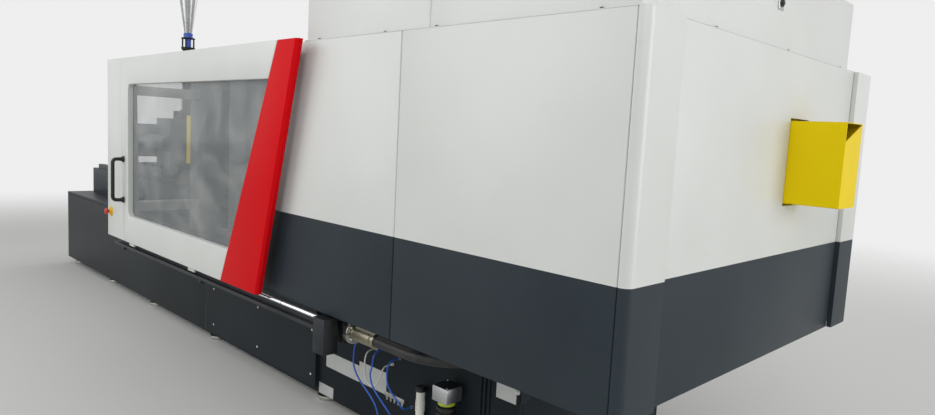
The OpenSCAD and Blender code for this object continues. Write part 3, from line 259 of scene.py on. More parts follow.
# Anodised aluminium name plates, left blank: pale, very fine satin
def plateMetal():
    material, tree, place = startMaterial("anodised blank plate")
    fine = addNode(tree, "TexNoise", {"Scale": 420.0, "Detail": 1.0}, {"Vector": place})
    broad = addNode(tree, "TexNoise", {"Scale": 14.0, "Detail": 2.0}, {"Vector": place})
    rough = addNode(tree, "MapRange", {"To Min": 0.35, "To Max": 0.5}, {"Value": fine})
    colour = addNode(tree, "Mix", {"data_type": "RGBA", 6: srgb("#B9BCBB"), 7: srgb("#CFD1CF")}, {0: broad})
    return finishMaterial(material, {"Metallic": 0.35}, {"Base Color": colour.outputs[2], "Roughness": rough})


iron, zinc, rubber, pane, blankPlate = castIron(), zincPlate(), hoseRubber(), polycarbonate(), plateMetal()
print("materials made")

# cords, along the same points as in the part's source, in millimetres there; every line leaves and
# enters the base's side by the same lead, given as the way out and the fall

linesPlace = (1.58, -0.55)
lead = [(12, 0), (40, 0), (58, 5), (71, 18), (77, 36)]
lines = {
    "lineNear": {"from": (0, 470), "to": (206, 112), "length": 0.55, "between": [
        (0, 80, 400), (5, 84, 362), (25, 87, 330), (60, 89, 300), (105, 90, 274), (150, 89, 247),
        (185, 86, 215), (202, 82, 182), (206, 78, 148)]},
    "lineMiddle": {"from": (150, 455), "to": (316, 146), "length": 0.483, "between": [
        (150, 82, 388), (156, 96, 352), (176, 102, 318), (208, 105, 290), (246, 106, 266), (282, 102, 238),
        (304, 92, 210), (312, 80, 182)]},
    "lineFar": {"from": (260, 440), "to": (360, 236), "length": 0.343, "between": [
        (263, 82, 374), (276, 88, 346), (300, 92, 322), (328, 90, 300), (350, 82, 277)]},
}
cablePoints = [(80, 12, 440), (80, 36, 440), (80, 52, 436), (80, 64, 424), (80, 70, 408), (82, 74, 370),
               (92, 78, 330), (112, 80, 302), (143, 80, 290), (174, 78, 302), (194, 74, 330),
               (203, 72, 350), (206, 68, 368), (206, 60, 384), (206, 46, 394), (206, 30, 396),
               (206, 12, 396)]
hose = {"start": (2.075, -0.875, 0.64), "bend": 0.25, "straight": 0.18, "end": -0.57, "diameter": 0.05}


def laid(points):
    return [Vector((linesPlace[0] + x / 1000, linesPlace[1] - y / 1000, z / 1000)) for x, y, z in points]


def linePath(line):
    (x0, z0), (x1, z1) = line["from"], line["to"]
    return laid([(x0, y, z0 - fall) for y, fall in lead] + line["between"]
                + [(x1, y, z1 + fall) for y, fall in reversed(lead[:4])])


def hosePath(values):
    start, bend = Vector(values["start"]), values["bend"]
    centre = start + Vector((values["straight"], bend, 0))
    turns = [math.radians(-90 + 90 * i / 8) for i in range(9)]
    return [start, start + Vector((values["straight"] / 2, 0, 0)),
            *(centre + bend * Vector((math.cos(turn), math.sin(turn), 0)) for turn in turns),
            Vector((centre.x + bend, values["end"], start.z))]


def layCord(name, path, diameter, material, node):
    curve = bpy.data.curves.new(name, "CURVE")
    curve.dimensions = "3D"
    spline = curve.splines.new("BEZIER")
    spline.bezier_points.add(len(path) - 1)
    for knot, place in zip(spline.bezier_points, path):
        knot.co = place
        knot.handle_left_type = knot.handle_right_type = "AUTO"
    curve.bevel_depth = diameter / 2
    curve.bevel_resolution = 5
    curve.resolution_u = 6
    curve.use_fill_caps = True
    cord = bpy.data.objects.new(name, curve)
    scene.collection.objects.link(cord)
    curve.materials.append(material)
    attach(cord, "machine")
    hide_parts(node)


layCord("clampHose", hosePath(hose), hose["diameter"], rubber, "clamp_hose")
for name, line in lines.items():
    layCord(name, linePath(line), 0.008, tubeBlue, "lube_lines")
layCord("sensorCable", laid(cablePoints), 0.007, cableWhite, "sensor_cable")
print("cords laid")

# modelling steps shared by the pieces


def finishEdit():
    bpy.ops.object.mode_set(mode="OBJECT")


def deselectAll():
    if bpy.context.object and bpy.context.object.mode != "OBJECT":
        finishEdit()
    bpy.ops.object.select_all(action="DESELECT")


def hold(piece):
    deselectAll()
    piece.select_set(True)
    bpy.context.view_layer.objects.active = piece


# Opens a piece with all of it selected
def edit(piece, kind="VERT"):
    hold(piece)
    bpy.ops.object.mode_set(mode="EDIT")
    bpy.ops.mesh.select_mode(type=kind)
    bpy.ops.mesh.select_all(action="SELECT")


def pick(piece, kind, test):
    bpy.ops.mesh.select_mode(type=kind)
    bpy.ops.mesh.select_all(action="DESELECT")
    shape = bmesh.from_edit_mesh(piece.data)
    for part in {"FACE": shape.faces, "EDGE": shape.edges}[kind]:
        if test(part):
            part.select_set(True)
    bmesh.update_edit_mesh(piece.data)


def extrude(move):
    bpy.ops.mesh.extrude_region_move(TRANSFORM_OT_translate={"value": move})


def middle(edge):
    return (edge.verts[0].co + edge.verts[1].co) / 2


def rises(edge):
    return abs(edge.verts[0].co.z - edge.verts[1].co.z) > 0.5


def outwards(piece):
    edit(piece)
    bpy.ops.mesh.remove_doubles(threshold=0.00002)
    bpy.ops.mesh.normals_make_consistent(inside=False)
    finishEdit()


def smooth(piece):
    hold(piece)
    bpy.ops.object.shade_smooth_by_angle(angle=math.radians(32))


def applyModifier(piece, kind, **settings):
    hold(piece)
    modifier = piece.modifiers.new(kind.lower(), kind)
    for key, value in settings.items():
        setattr(modifier, key, value)
    bpy.ops.object.modifier_apply(modifier=modifier.name)


def roundEdges(piece, width, segments=2, angle=30):
    applyModifier(piece, "BEVEL", width=width, segments=segments, limit_method="ANGLE",
                  angle_limit=math.radians(angle))
    smooth(piece)


def rename(piece, name):
    piece.name = piece.data.name = name
    return piece


# Names the primitive just added and puts its place into its mesh
def settle(name):
    bpy.ops.object.transform_apply(location=True, rotation=True, scale=True)
    return rename(bpy.context.object, name)


def addBox(name, low, high):
    deselectAll()
    low, high = Vector(low), Vector(high)
    bpy.ops.mesh.primitive_cube_add(size=1, location=(low + high) / 2, scale=high - low)
    return settle(name)


def addBlock(name, low, high, bevel=0.002, segments=2):
    piece = addBox(name, low, high)
    roundEdges(piece, bevel, segments)
    return piece


# Turned shape: a disc pushed out and resized in steps, along the axis from start
def addTurned(name, start, axis, profile, sides=32, bevel=0.0):
    deselectAll()
    axis, start = Vector(axis).normalized(), Vector(start)
    turn = sky.rotation_difference(axis).to_euler()
    bpy.ops.mesh.primitive_circle_add(vertices=sides, radius=profile[0][1], fill_type="NGON",
                                      location=start + axis * profile[0][0], rotation=turn)
    piece = settle(name)
    edit(piece, "FACE")
    for (step, radius), (nextStep, nextRadius) in zip(profile, profile[1:]):
        extrude(axis * (nextStep - step))
        if abs(nextRadius - radius) > 1e-7:
            bpy.ops.transform.resize(value=[nextRadius / radius] * 3, center_override=start + axis * nextStep)
    finishEdit()
    outwards(piece)
    if bevel:
        roundEdges(piece, bevel)
    smooth(piece)
    return piece


# Short tube: an open cylinder whose wall grows inwards
def addRing(name, start, axis, radius, wall, length, sides=40, bevel=0.0):
    deselectAll()
    axis, start = Vector(axis).normalized(), Vector(start)
    turn = sky.rotation_difference(axis).to_euler()
    bpy.ops.mesh.primitive_cylinder_add(vertices=sides, radius=radius, depth=length, end_fill_type="NOTHING",
                                        location=start + axis * length / 2, rotation=turn)
    piece = settle(name)
    applyModifier(piece, "SOLIDIFY", thickness=wall, offset=-1.0)
    if bevel:
        roundEdges(piece, bevel)
    smooth(piece)
    return piece


# Sinks the faces that look one way, inside a border
def recess(piece, facing, border, depth, area=0.0):
    facing = Vector(facing)
    edit(piece)
    pick(piece, "FACE", lambda face: face.normal.dot(facing) > 0.98 and face.calc_area() > area)
    bpy.ops.mesh.inset(thickness=border)
    extrude(-facing * depth)
    finishEdit()
    return piece


# Domed screw head with a recess
def addScrewHead(radius, height):
    return recess(addTurned("screwHead", (0, 0, 0), sky,
                            [(0.0, radius), (height * 0.35, radius * 0.98), (height * 0.75, radius * 0.8),
                             (height, radius * 0.45)], 12), sky, radius * 0.12, height * 0.5)


def joinPieces(name, pieces):
    deselectAll()
    for piece in pieces:
        piece.select_set(True)
    bpy.context.view_layer.objects.active = pieces[0]
    if len(pieces) > 1:
        bpy.ops.object.join()
    return rename(bpy.context.object, name)


def copyAt(pattern, matrix):
    twin = pattern.copy()
    twin.data = pattern.data.copy()
    twin.data.transform(matrix)
    if matrix.determinant() < 0:
        twin.data.flip_normals()
    scene.collection.objects.link(twin)
    return twin


def mirrored(name, piece):
    return rename(copyAt(piece, Matrix.Scale(-1, 4, north)), name)


# The same small piece at several places, pointing along one direction
def repeated(name, pattern, places, axis=sky):
    turn = sky.rotation_difference(Vector(axis)).to_matrix().to_4x4()
    copies = [copyAt(pattern, Matrix.Translation(place) @ turn) for place in places]
    bpy.data.objects.remove(pattern)
    return joinPieces(name, copies)


def cutAway(piece, cutter):
    applyModifier(piece, "BOOLEAN", object=cutter, operation="DIFFERENCE", solver="EXACT")
    bpy.data.objects.remove(cutter)


# Slices off what lies beyond a plane, and closes the cut
def sliceOff(piece, place, normal):
    edit(piece)
    bpy.ops.mesh.bisect(plane_co=place, plane_no=normal, use_fill=True, clear_outer=True)
    finishEdit()
    outwards(piece)


# Turns a closed body into folded 3 mm sheet: the open sides go, the outer folds are rounded, and the
# wall gets its thickness inwards
def foldSheet(piece, bend, *openSides):
    edit(piece)
    pick(piece, "FACE", lambda face: any(face.normal.dot(Vector(side)) > 0.98 for side in openSides))
    bpy.ops.mesh.delete(type="FACE")
    pick(piece, "EDGE", lambda edge: not edge.is_boundary and len(edge.link_faces) == 2
         and edge.calc_face_angle() > 0.3)
    bpy.ops.mesh.bevel(offset=bend, segments=3, affect="EDGES")
    finishEdit()
    applyModifier(piece, "SOLIDIFY", thickness=0.003, offset=-1.0, use_even_offset=True)
    smooth(piece)
    return piece


def dress(piece, material, body="machine", *nodes):
    piece.data.materials.clear()
    piece.data.materials.append(material)
    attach(piece, body)
    if nodes:
        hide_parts(*nodes)
    return piece


# A rear piece and its mirror image on the front side
def dressPair(name, piece, material):
    dress(mirrored(name + "Front", piece), material)
    dress(rename(piece, name + "Rear"), material)


bandTop = 1.107


# White above, slate below: the faces are split along the colour's edge
def dressTwoTone(piece, node):
    edit(piece)
    bpy.ops.mesh.bisect(plane_co=(0, 0, bandTop), plane_no=sky)
    finishEdit()
    dress(piece, whiteCoat, "machine", node)
    piece.data.materials.append(slateCoat)
    for face in piece.data.polygons:
        face.material_index = 1 if face.center.z < bandTop else 0


# Sheet bent along a path: a point is pushed along the steps, the line is drawn out and thickened.
# A step is a place to go to, or a centre, an axis and an angle to turn by
def addBentSheet(name, start, steps, drawOut, wall):
    deselectAll()
    bpy.ops.mesh.primitive_plane_add(size=0.01, location=start)
    piece = settle(name)
    edit(piece)
    bpy.ops.mesh.merge(type="CENTER")
    here = Vector(start)
    for step in steps:
        place = Vector(step[0])
        if len(step) == 1:
            extrude(place - here)
            here = place
        else:
            axis, angle = Vector(step[1]), math.radians(step[2])
            bpy.ops.mesh.spin(steps=8, angle=-angle, center=place, axis=axis)  # spin turns the other way
            here = place + Matrix.Rotation(angle, 3, axis) @ (here - place)
    bpy.ops.mesh.select_all(action="SELECT")
    extrude(drawOut)
    bpy.ops.mesh.select_all(action="SELECT")
    bpy.ops.mesh.remove_doubles(threshold=0.00002)
    finishEdit()
    applyModifier(piece, "SOLIDIFY", thickness=wall, offset=0.0, use_even_offset=True)
    outwards(piece)
    smooth(piece)
    return piece


# side covers, folded from sheet; the first ones lean as the stripe on the closed gate does, and the
# strip that reaches behind it is set back a little by a shallow bend

cover = {"side": 0.975, "low": 0.715, "high": 1.857, "fold": 0.025, "bend": 0.004, "lean": 0.303,
         "strip": 0.08, "set": 0.012, "a": (1.579, 2.271), "b": (2.275, 3.238)}


def addSideCover(name, side, x0, x1, lean, node):
    face, back = side * cover["side"], side * (cover["side"] - cover["fold"])
    piece = addBox(name, (x0 - lean, min(face, back), cover["low"]), (x1, max(face, back), cover["high"]))
    if lean:
        foot, head = Vector((x0 - lean, 0, cover["low"])), Vector((x0, 0, cover["high"]))
        slope = (head - foot).cross(north).normalized()
        bendLine = foot + Vector((cover["strip"], 0, 0))
        sliceOff(piece, foot, slope)
        edit(piece)
        bpy.ops.mesh.bisect(plane_co=bendLine, plane_no=slope)
        pick(piece, "EDGE", lambda edge: abs(middle(edge).y - face) < 1e-4 and rises(edge)
             and abs((middle(edge) - foot).dot(slope)) < 1e-3)
        bpy.ops.transform.translate(value=(0, -side * cover["set"], 0))
        finishEdit()
    foldSheet(piece, cover["bend"], (0, -side, 0))
    if lean:
        edit(piece)
        pick(piece, "EDGE", lambda edge: rises(edge) and abs((middle(edge) - bendLine).dot(slope)) < 1e-3)
        bpy.ops.mesh.mark_sharp()
        finishEdit()
    dressTwoTone(piece, node)


addSideCover("coverRearA", -1, *cover["a"], cover["lean"], "cover_rear_a")
addSideCover("coverRearB", -1, *cover["b"], 0, "cover_rear_b")
addSideCover("coverFront", 1, cover["a"][0], cover["b"][1], cover["lean"], "cover_front")

# corner posts, each one sheet with a round vertical bend

corner = {"x": 3.275, "leg": 0.033, "radius": 0.03, "rear": 0.193, "front": 0.205, "recess": 0.018, "half": 0.0015}


def addCorner(name, side, width, node):
    t, z = corner["half"], cover["low"]
    x, y, r = corner["x"] - t, side * (cover["side"] - t), corner["radius"] - t
    x0, yEnd = corner["x"] - corner["leg"] + t, side * (cover["side"] - width + t)
    steps = [[(x0, y, z)], [(x - r, y, z)], [(x - r, y - side * r, z), sky, -90 * side],
             [(x, yEnd, z)], [(x - corner["recess"], yEnd, z)]]
    start = (x0, side * (cover["side"] - cover["fold"]), z)
    dressTwoTone(addBentSheet(name, start, steps, (0, 0, cover["high"] - z), 2 * t), node)


addCorner("cornerRear", -1, corner["rear"], "corner_rear")
addCorner("cornerFront", 1, corner["front"], "corner_front")

# recessed end panel with the opening for the yellow guard

endPanel = {"x": 3.257, "y": (-0.778, 0.766), "holeY": (0.0945, 0.2795), "holeZ": (1.292, 1.622)}
panel = foldSheet(addBox("endPanel", (endPanel["x"] - 0.025, endPanel["y"][0], cover["low"]),
                         (endPanel["x"], endPanel["y"][1], cover["high"])), 0.004, -east)
cutAway(panel, addBox("hole", (3.2, endPanel["holeY"][0], endPanel["holeZ"][0]),
                      (3.3, endPanel["holeY"][1], endPanel["holeZ"][1])))
dressTwoTone(panel, "end_panel")
print("covers made")

# top hoods with their flange, bolts and latch

hoods = {"a": (1.619, 2.405, 2.405), "b": (2.406, 3.24, 3.255), "y": (-0.96, 0.725), "top": 2.14,
         "flangeY": 0.973, "flangeTop": cover["high"] + 0.003, "boltY": 0.9665, "endBoltX": 3.2475,
         "rearBolts": (1.724, 2.166, 2.449, 3.12), "endBolts": (-0.55, 0.025, 0.6)}


def addHood(name, key, node):
    (x0, x1, flangeEnd), (y0, y1), z = hoods[key], hoods["y"], cover["high"]
    shell = foldSheet(addBox(name, (x0, y0, z), (x1, y1, hoods["top"])), 0.006, -sky)
    flange = addBlock("flange", (x0, -hoods["flangeY"], z), (flangeEnd, hoods["flangeY"], hoods["flangeTop"]), 0.0008, 1)
    dress(joinPieces(name, [shell, flange]), whiteCoat, "machine", node)


addHood("topHoodA", "a", "top_hood_a")
addHood("topHoodB", "b", "top_hood_b")
places = [(x, side * hoods["boltY"], hoods["flangeTop"]) for side in (-1, 1) for x in hoods["rearBolts"]]
places += [(hoods["endBoltX"], y, hoods["flangeTop"]) for y in hoods["endBolts"]]
dress(repeated("hoodScrews", addScrewHead(0.0065, 0.004), places), blackCoat)
dress(addBlock("latch", (3.24, -0.082, 1.992), (3.244, -0.036, 2.038), 0.0015), stainlessSheet)
dress(addTurned("knob", (3.243, -0.059, 2.015), east,
                [(0, 0.015), (0.004, 0.015), (0.005, 0.009), (0.009, 0.009), (0.0095, 0.0075)], 24), blackNylon)
print("hoods made")

# yellow end guard, open towards the machine, its end plate cut off at the near upper corner

guard = {"x": (3.212, 3.45), "y": (0.0995, 0.2745), "z": (1.302, 1.612), "cut": 0.07, "wall": 0.003,
         "flange": 0.04, "pad": 0.016}


def addEndGuard(values):
    (x0, x1), (y0, y1), (z0, z1) = values["x"], values["y"], values["z"]
    w, rim, pad = values["wall"], values["flange"], values["pad"]
    sleeve = foldSheet(addBox("endGuard", (x0, y0, z0), (x1, y1, z1)), 0.004, east, -east)
    inner = w - 0.0005
    plate = addBox("guardEnd", (x1 - w, y0 + inner, z0 + inner), (x1 - 0.0002, y1 - inner, z1 - inner))
    slope = Vector((0, w - values["cut"], y1 - y0 - 2 * w)).normalized()
    sliceOff(plate, (x1, y0 + w, z1 - values["cut"]), slope)
    frame = addBox("guardFlange", (x0, y0 - rim, z0 - rim), (x0 + w, y1 + rim, z1 + rim))
    cutAway(frame, addBox("hole", (x0 - 0.01, y0 + 0.001, z0 + 0.001), (x0 + 0.01, y1 - 0.001, z1 - 0.001)))
    pads = [addBlock("pad", (x0 + 0.002, y, z), (endPanel["x"] - w, y + pad, z + pad), 0.001)
            for y in (y0 - 0.038, y1 + 0.022) for z in (z0 - 0.038, z1 + 0.022)]
    return joinPieces("endGuard", [sleeve, plate, frame] + pads)


dress(addEndGuard(guard), yellowCoat, "machine", "end_guard")

# gates: fixed post, folded shell, stripe, window, handle, carrying tubes and shoes, stop button

gate = {"face": -1.055, "depth": 0.03, "low": 0.715, "high": 1.857, "platen": -0.625,
        "post": (0.296, 0.224), "left": (1.655, 2.162), "right": (2.003, 2.306), "gap": 0.005,
        "windowX": 0.37, "windowZ": (0.883, 1.695), "windowR": 0.035, "chamfer": 0.012, "bend": 0.004,
        "tubes": (0.775, 1.757), "shoes": (-0.275, 0.615), "rodY": -0.993, "rodZ": 0.698}


# X of a slanted edge at a height, from its two ends
def slant(key, z):
    low, high = gate[key]
    return gate["platen"] + low + (high - low) * (z - gate["low"]) / (gate["high"] - gate["low"])


# Cuts along a slanted edge moved by shift: side 1 keeps what lies left of it, -1 what lies right
def sliceSlant(piece, key, shift, side):
    foot, head = (Vector((slant(key, z) + shift, 0, z)) for z in (gate["low"], gate["high"]))
    sliceOff(piece, foot, (head - foot).cross(north).normalized() * -side)


def addGatePost():
    face, x = gate["face"], gate["platen"]
    piece = addBox("gatePost", (x, face, gate["low"]), (-0.3, face + 0.1, gate["high"]))
    sliceSlant(piece, "post", 0, 1)
    foldSheet(piece, gate["bend"], north)
    cutAway(piece, addBox("passage", (-0.555, -0.993, 1.775), (-0.225, -0.945, 1.825)))
    ties = [addBlock("tie", (x + 0.06, face + 0.0031, z - 0.03), (x + 0.16, -0.51, z + 0.03), 0.003)
            for z in (0.91, 1.67)]
    return joinPieces("gatePost", [piece] + ties)


def windowCutter():
    z0, z1 = gate["windowZ"]
    cutter = addBox("cutter", (gate["platen"] + gate["windowX"], gate["face"] - 0.01, z0), (1.9, gate["face"] + 0.05, z1))
    edit(cutter)
    pick(cutter, "EDGE", lambda edge: abs((edge.verts[1].co - edge.verts[0].co).normalized().y) > 0.99
         and middle(edge).x < 0)
    bpy.ops.mesh.bevel(offset=gate["windowR"], segments=8, affect="EDGES")
    finishEdit()
    sliceSlant(cutter, "left", 0.004, 1)
    return cutter


def addGateShell():
    piece = addBox("gateShell", (-0.5, gate["face"], gate["low"]), (1.7, gate["face"] + gate["depth"], gate["high"]))
    sliceSlant(piece, "post", gate["gap"], -1)
    sliceSlant(piece, "left", -0.003, 1)
    cutAway(piece, windowCutter())
    return foldSheet(piece, 0.003, north)


def addStripe():
    face = gate["face"]
    piece = addBox("gateStripe", (0.9, face, gate["low"]), (1.9, face + gate["depth"], gate["high"]))
    sliceSlant(piece, "left", 0, -1)
    sliceSlant(piece, "right", gate["chamfer"], 1)
    edit(piece)
    pick(piece, "EDGE", lambda edge: abs(middle(edge).y - face) < 1e-4 and rises(edge)
         and middle(edge).x > (slant("left", 1.286) + slant("right", 1.286)) / 2)
    bpy.ops.mesh.bevel(offset=gate["chamfer"], segments=1, affect="EDGES")
    finishEdit()
    return foldSheet(piece, 0.0025, north)


def addPane():
    y, z0, z1 = gate["face"] + gate["depth"], *gate["windowZ"]
    piece = addBox("gatePane", (gate["platen"] + gate["windowX"] - 0.025, y, z0 - 0.025), (1.9, y + 0.005, z1 + 0.025))
    sliceSlant(piece, "right", -0.03, 1)
    roundEdges(piece, 0.001, 1)
    return piece


# Two square tubes that carry shell and stripe, the hangers of the shoes and the upper guide block
def addGateTubes():
    back, x = gate["face"] + gate["depth"], gate["shoes"][0]
    parts = [addBlock("tube", (slant("post", z) + 0.006, back, z), (slant("right", z) - 0.025, back + 0.02, z + 0.04))
             for z in gate["tubes"]]
    parts += [addBlock("hanger", (shoe - 0.04, back, 0.684), (shoe + 0.04, back + 0.008, 0.776), 0.001)
              for shoe in gate["shoes"]]
    parts += [addBlock("guideBlock", (x, y0, z0), (x + 0.06, y1, z1), 0.001)
              for y0, y1, z0, z1 in ((back, -0.993, 1.76, 1.8), (-0.994, -0.969, 1.76, 1.772),
                                     (-0.979, -0.969, 1.771, 1.805))]
    return joinPieces("gateTubes", parts)


# Shoes that run on the guide rod, open below for the rod's carrier
def addShoes():
    shoes = []
    for x in gate["shoes"]:
        shoe = addBlock("shoe", (x - 0.04, -1.017, 0.684), (x + 0.04, -0.968, 0.712), 0.0015)
        cutAway(shoe, addTurned("bore", (x - 0.05, gate["rodY"], gate["rodZ"]), east, [(0, 0.0113), (0.1, 0.0113)]))
        cutAway(shoe, addBox("slot", (x - 0.05, -0.999, 0.68), (x + 0.05, -0.987, gate["rodZ"])))
        smooth(shoe)
        shoes.append(shoe)
    return joinPieces("gateShoes", shoes)


handle = {"x": -0.3265, "z": 1.104, "length": 0.256, "out": 0.065, "radius": 0.011, "bend": 0.022,
          "face": -1.055}
purgeHandle = {"x": -1.035, "z": 1.34, "length": 0.16, "out": 0.045, "radius": 0.008, "bend": 0.016,
               "face": -0.27}


# Bar bent from a disc: pushed out of the sheet, turned up, drawn along and turned back in
def addHandle(name, values):
    deselectAll()
    x, y0, y1, bend = values["x"], values["face"], values["face"] - values["out"], values["bend"]
    z0, z1 = values["z"] - values["length"] / 2, values["z"] + values["length"] / 2
    reach, foot = y1 + bend - y0, 1.8 * values["radius"]
    bpy.ops.mesh.primitive_circle_add(vertices=20, radius=values["radius"], fill_type="NGON",
                                      location=(x, y0, z0), rotation=(math.pi / 2, 0, 0))
    piece = settle("bar")
    edit(piece, "FACE")
    extrude((0, reach, 0))
    bpy.ops.mesh.spin(steps=6, angle=math.radians(90), center=(x, y1 + bend, z0 + bend), axis=east)
    extrude((0, 0, z1 - z0 - 2 * bend))
    bpy.ops.mesh.spin(steps=6, angle=math.radians(90), center=(x, y1 + bend, z1 - bend), axis=east)
    extrude((0, -reach, 0))
    finishEdit()
    outwards(piece)
    smooth(piece)
    feet = [addTurned("foot", (x, y0, z), -north,
                      [(0, foot), (0.006, foot), (0.008, foot * 0.88), (0.0082, foot * 0.68),
                       (0.02, foot * 0.63)], 28) for z in (z0, z1)]
    return joinPieces(name, [piece] + feet)


stop = {"place": (-0.558, -1.055, 0.877),
        "disc": [(0, 0.032), (0.003, 0.032), (0.004, 0.031)],
        "body": [(0.003, 0.0148), (0.008, 0.0148), (0.0095, 0.0142), (0.016, 0.014)],
        "head": [(0.011, 0.009), (0.023, 0.009), (0.0235, 0.016), (0.026, 0.0195), (0.03, 0.02),
                 (0.034, 0.0192), (0.0375, 0.0165), (0.0392, 0.012), (0.0395, 0.005)]}


# Both gates are alike: the front one is the rear one mirrored across the machine's middle
def makeGates():
    base = joinPieces("stopBase", [addTurned(key, stop["place"], -north, stop[key], sides)
                                   for key, sides in (("disc", 40), ("body", 32))])
    rear = {"Post": addGatePost(), "Shell": addGateShell(), "Tubes": addGateTubes(), "Shoes": addShoes(),
            "Stripe": addStripe(), "Pane": addPane(), "Handle": addHandle("gateHandle", handle),
            "StopBase": base, "StopHead": addTurned("stopHead", stop["place"], -north, stop["head"], 40)}
    front = {key: mirrored("front" + key, piece) for key, piece in rear.items()}
    for side, parts in (("rear", rear), ("front", front)):
        moving = {"Shell": (whiteCoat, "gate_"), "Tubes": (whiteCoat, "gate_"), "Shoes": (brushedAluminium, "gate_"),
                  "Stripe": (redCoat, "gate_stripe_"), "Pane": (pane, "gate_window_"),
                  "Handle": (blackNylon, "gate_handle_")}
        for key, piece in parts.items():
            rename(piece, side + key)
        for key, (material, node) in moving.items():
            dress(parts[key], material, side + "_gate", node + side)
        dress(parts["StopHead"], redPlastic, "stop_" + side, "estop_button_" + side)
        dress(parts["StopBase"], yellowPlastic, "machine", "estop_bases")
        dress(parts["Post"], whiteCoat, "machine", "gate_posts")


makeGates()
lugs = [addBlock("lug", (-0.667, 1.013, z), (-0.625, 1.037, z + 0.02)) for z in (1.2095, 1.5705)]
dress(joinPieces("pivotLugs", lugs), whiteCoat, "machine", "gate_posts")
print("gates made")

# rail below the gates: ribs in its channel and the seams between the rod's lengths

rail = {"x": (-0.595, 1.82), "y": (-1.015, -1.009, -1.003), "z": (0.6625, 0.666), "rib": 0.0022,
        "seams": (1.415, 1.523), "rod": 0.0111}
(x0, x1), (z0, z1) = rail["x"], rail["z"]
ribs = [addBlock("rib", (x0, y, z0), (x1, y + rail["rib"], z1), 0.0007, 1) for y in rail["y"]]
seams = [addRing("seam", (x, gate["rodY"], gate["rodZ"]), east, rail["rod"], 0.001, 0.004, 32) for x in rail["seams"]]
dressPair("railRibs", joinPieces("railRibs", ribs), darkAluminium)
dressPair("rodSeams", joinPieces("rodSeams", seams), blackNylon)

# injection unit: barrel's heater bands, screw, hopper with its neck and lid

unit = {"x": -1.895, "axis": 1.29, "bandX": -1.685, "pitch": 0.15, "bandLength": 0.13, "bandR": 0.083,
        "bands": 6}


# Sheet bands round the barrel, each closed by a clamping lug with a screw and a terminal cap
def addHeaterBands(values):
    bands, caps = [], []
    z, r, length = values["axis"], values["bandR"], values["bandLength"]
    for x in [values["bandX"] + i * values["pitch"] for i in range(values["bands"])]:
        bands.append(addRing("band", (x, 0, z), east, r, 0.0075, length, 48, 0.0015))
        for at in (x + 0.012, x + length - 0.024):
            bands.append(addRing("strap", (at, 0, z), east, r + 0.0015, 0.002, 0.012, 48))
            bands.append(addBlock("lug", (at, -0.008, z - r - 0.014), (at + 0.012, 0.008, z - r + 0.003), 0.001))
        caps.append(addTurned("cap", (x + length / 2, 0, z + r - 0.002), sky,
                              [(0, 0.018), (0.012, 0.018), (0.016, 0.014), (0.02, 0.013)], 20))
    dress(joinPieces("heaterBands", bands), stainlessSheet, "carriage", "heater_bands")
    dress(joinPieces("heaterCaps", caps), ceramicWhite, "carriage")


addHeaterBands(unit)

screwShape = {"back": -2.415, "front": -0.635, "flightX": -1.68, "root": 0.019, "outer": 0.0292,
              "shaft": 0.023, "pitch": 0.06, "turns": 16, "flight": 0.006}


# Root shaft with a coupling collar, and one flight swept round it
def addScrew(values):
    root, shaftR, z = values["root"], values["shaft"], unit["axis"]
    length, flightStart = values["front"] - values["back"], values["flightX"] - values["back"]
    shaft = addTurned("screwShaft", (values["back"], 0, z), east,
                      [(0, shaftR), (0.06, shaftR), (0.06, 0.05), (0.09, 0.05), (0.09, shaftR),
                       (flightStart, shaftR), (flightStart + 0.02, root), (length - 0.05, root),
                       (length - 0.04, 0.026), (length - 0.03, 0.026), (length, 0.006)])
    deselectAll()
    bpy.ops.mesh.primitive_plane_add(size=0.001, location=(values["flightX"], 0, z))
    flight = settle("flight")
    edit(flight)
    bpy.ops.mesh.merge(type="CENTER")
    bpy.ops.transform.translate(value=(0, root - 0.001, 0))
    extrude((0, values["outer"] - root + 0.001, 0))
    finishEdit()
    flight.data.transform(Matrix.Translation((0, 0, -z)))
    applyModifier(flight, "SCREW", axis="X", angle=2 * math.pi, screw_offset=values["pitch"],
                  iterations=values["turns"], steps=24, render_steps=24)
    applyModifier(flight, "SOLIDIFY", thickness=values["flight"], offset=0.0)
    flight.data.transform(Matrix.Translation((0, 0, z)))
    outwards(flight)
    smooth(flight)
    return joinPieces("plasticisingScrew", [shaft, flight])


dress(addScrew(screwShape), turnedSteel, "screw", "screw")

hopper = {"foot": 2.25, "footR": 0.0315, "cone": 0.33, "coneR": 0.08, "receiverR": 0.12, "receiver": 0.26,
          "neck": 1.5, "cage": 2.12, "port": 2.71}


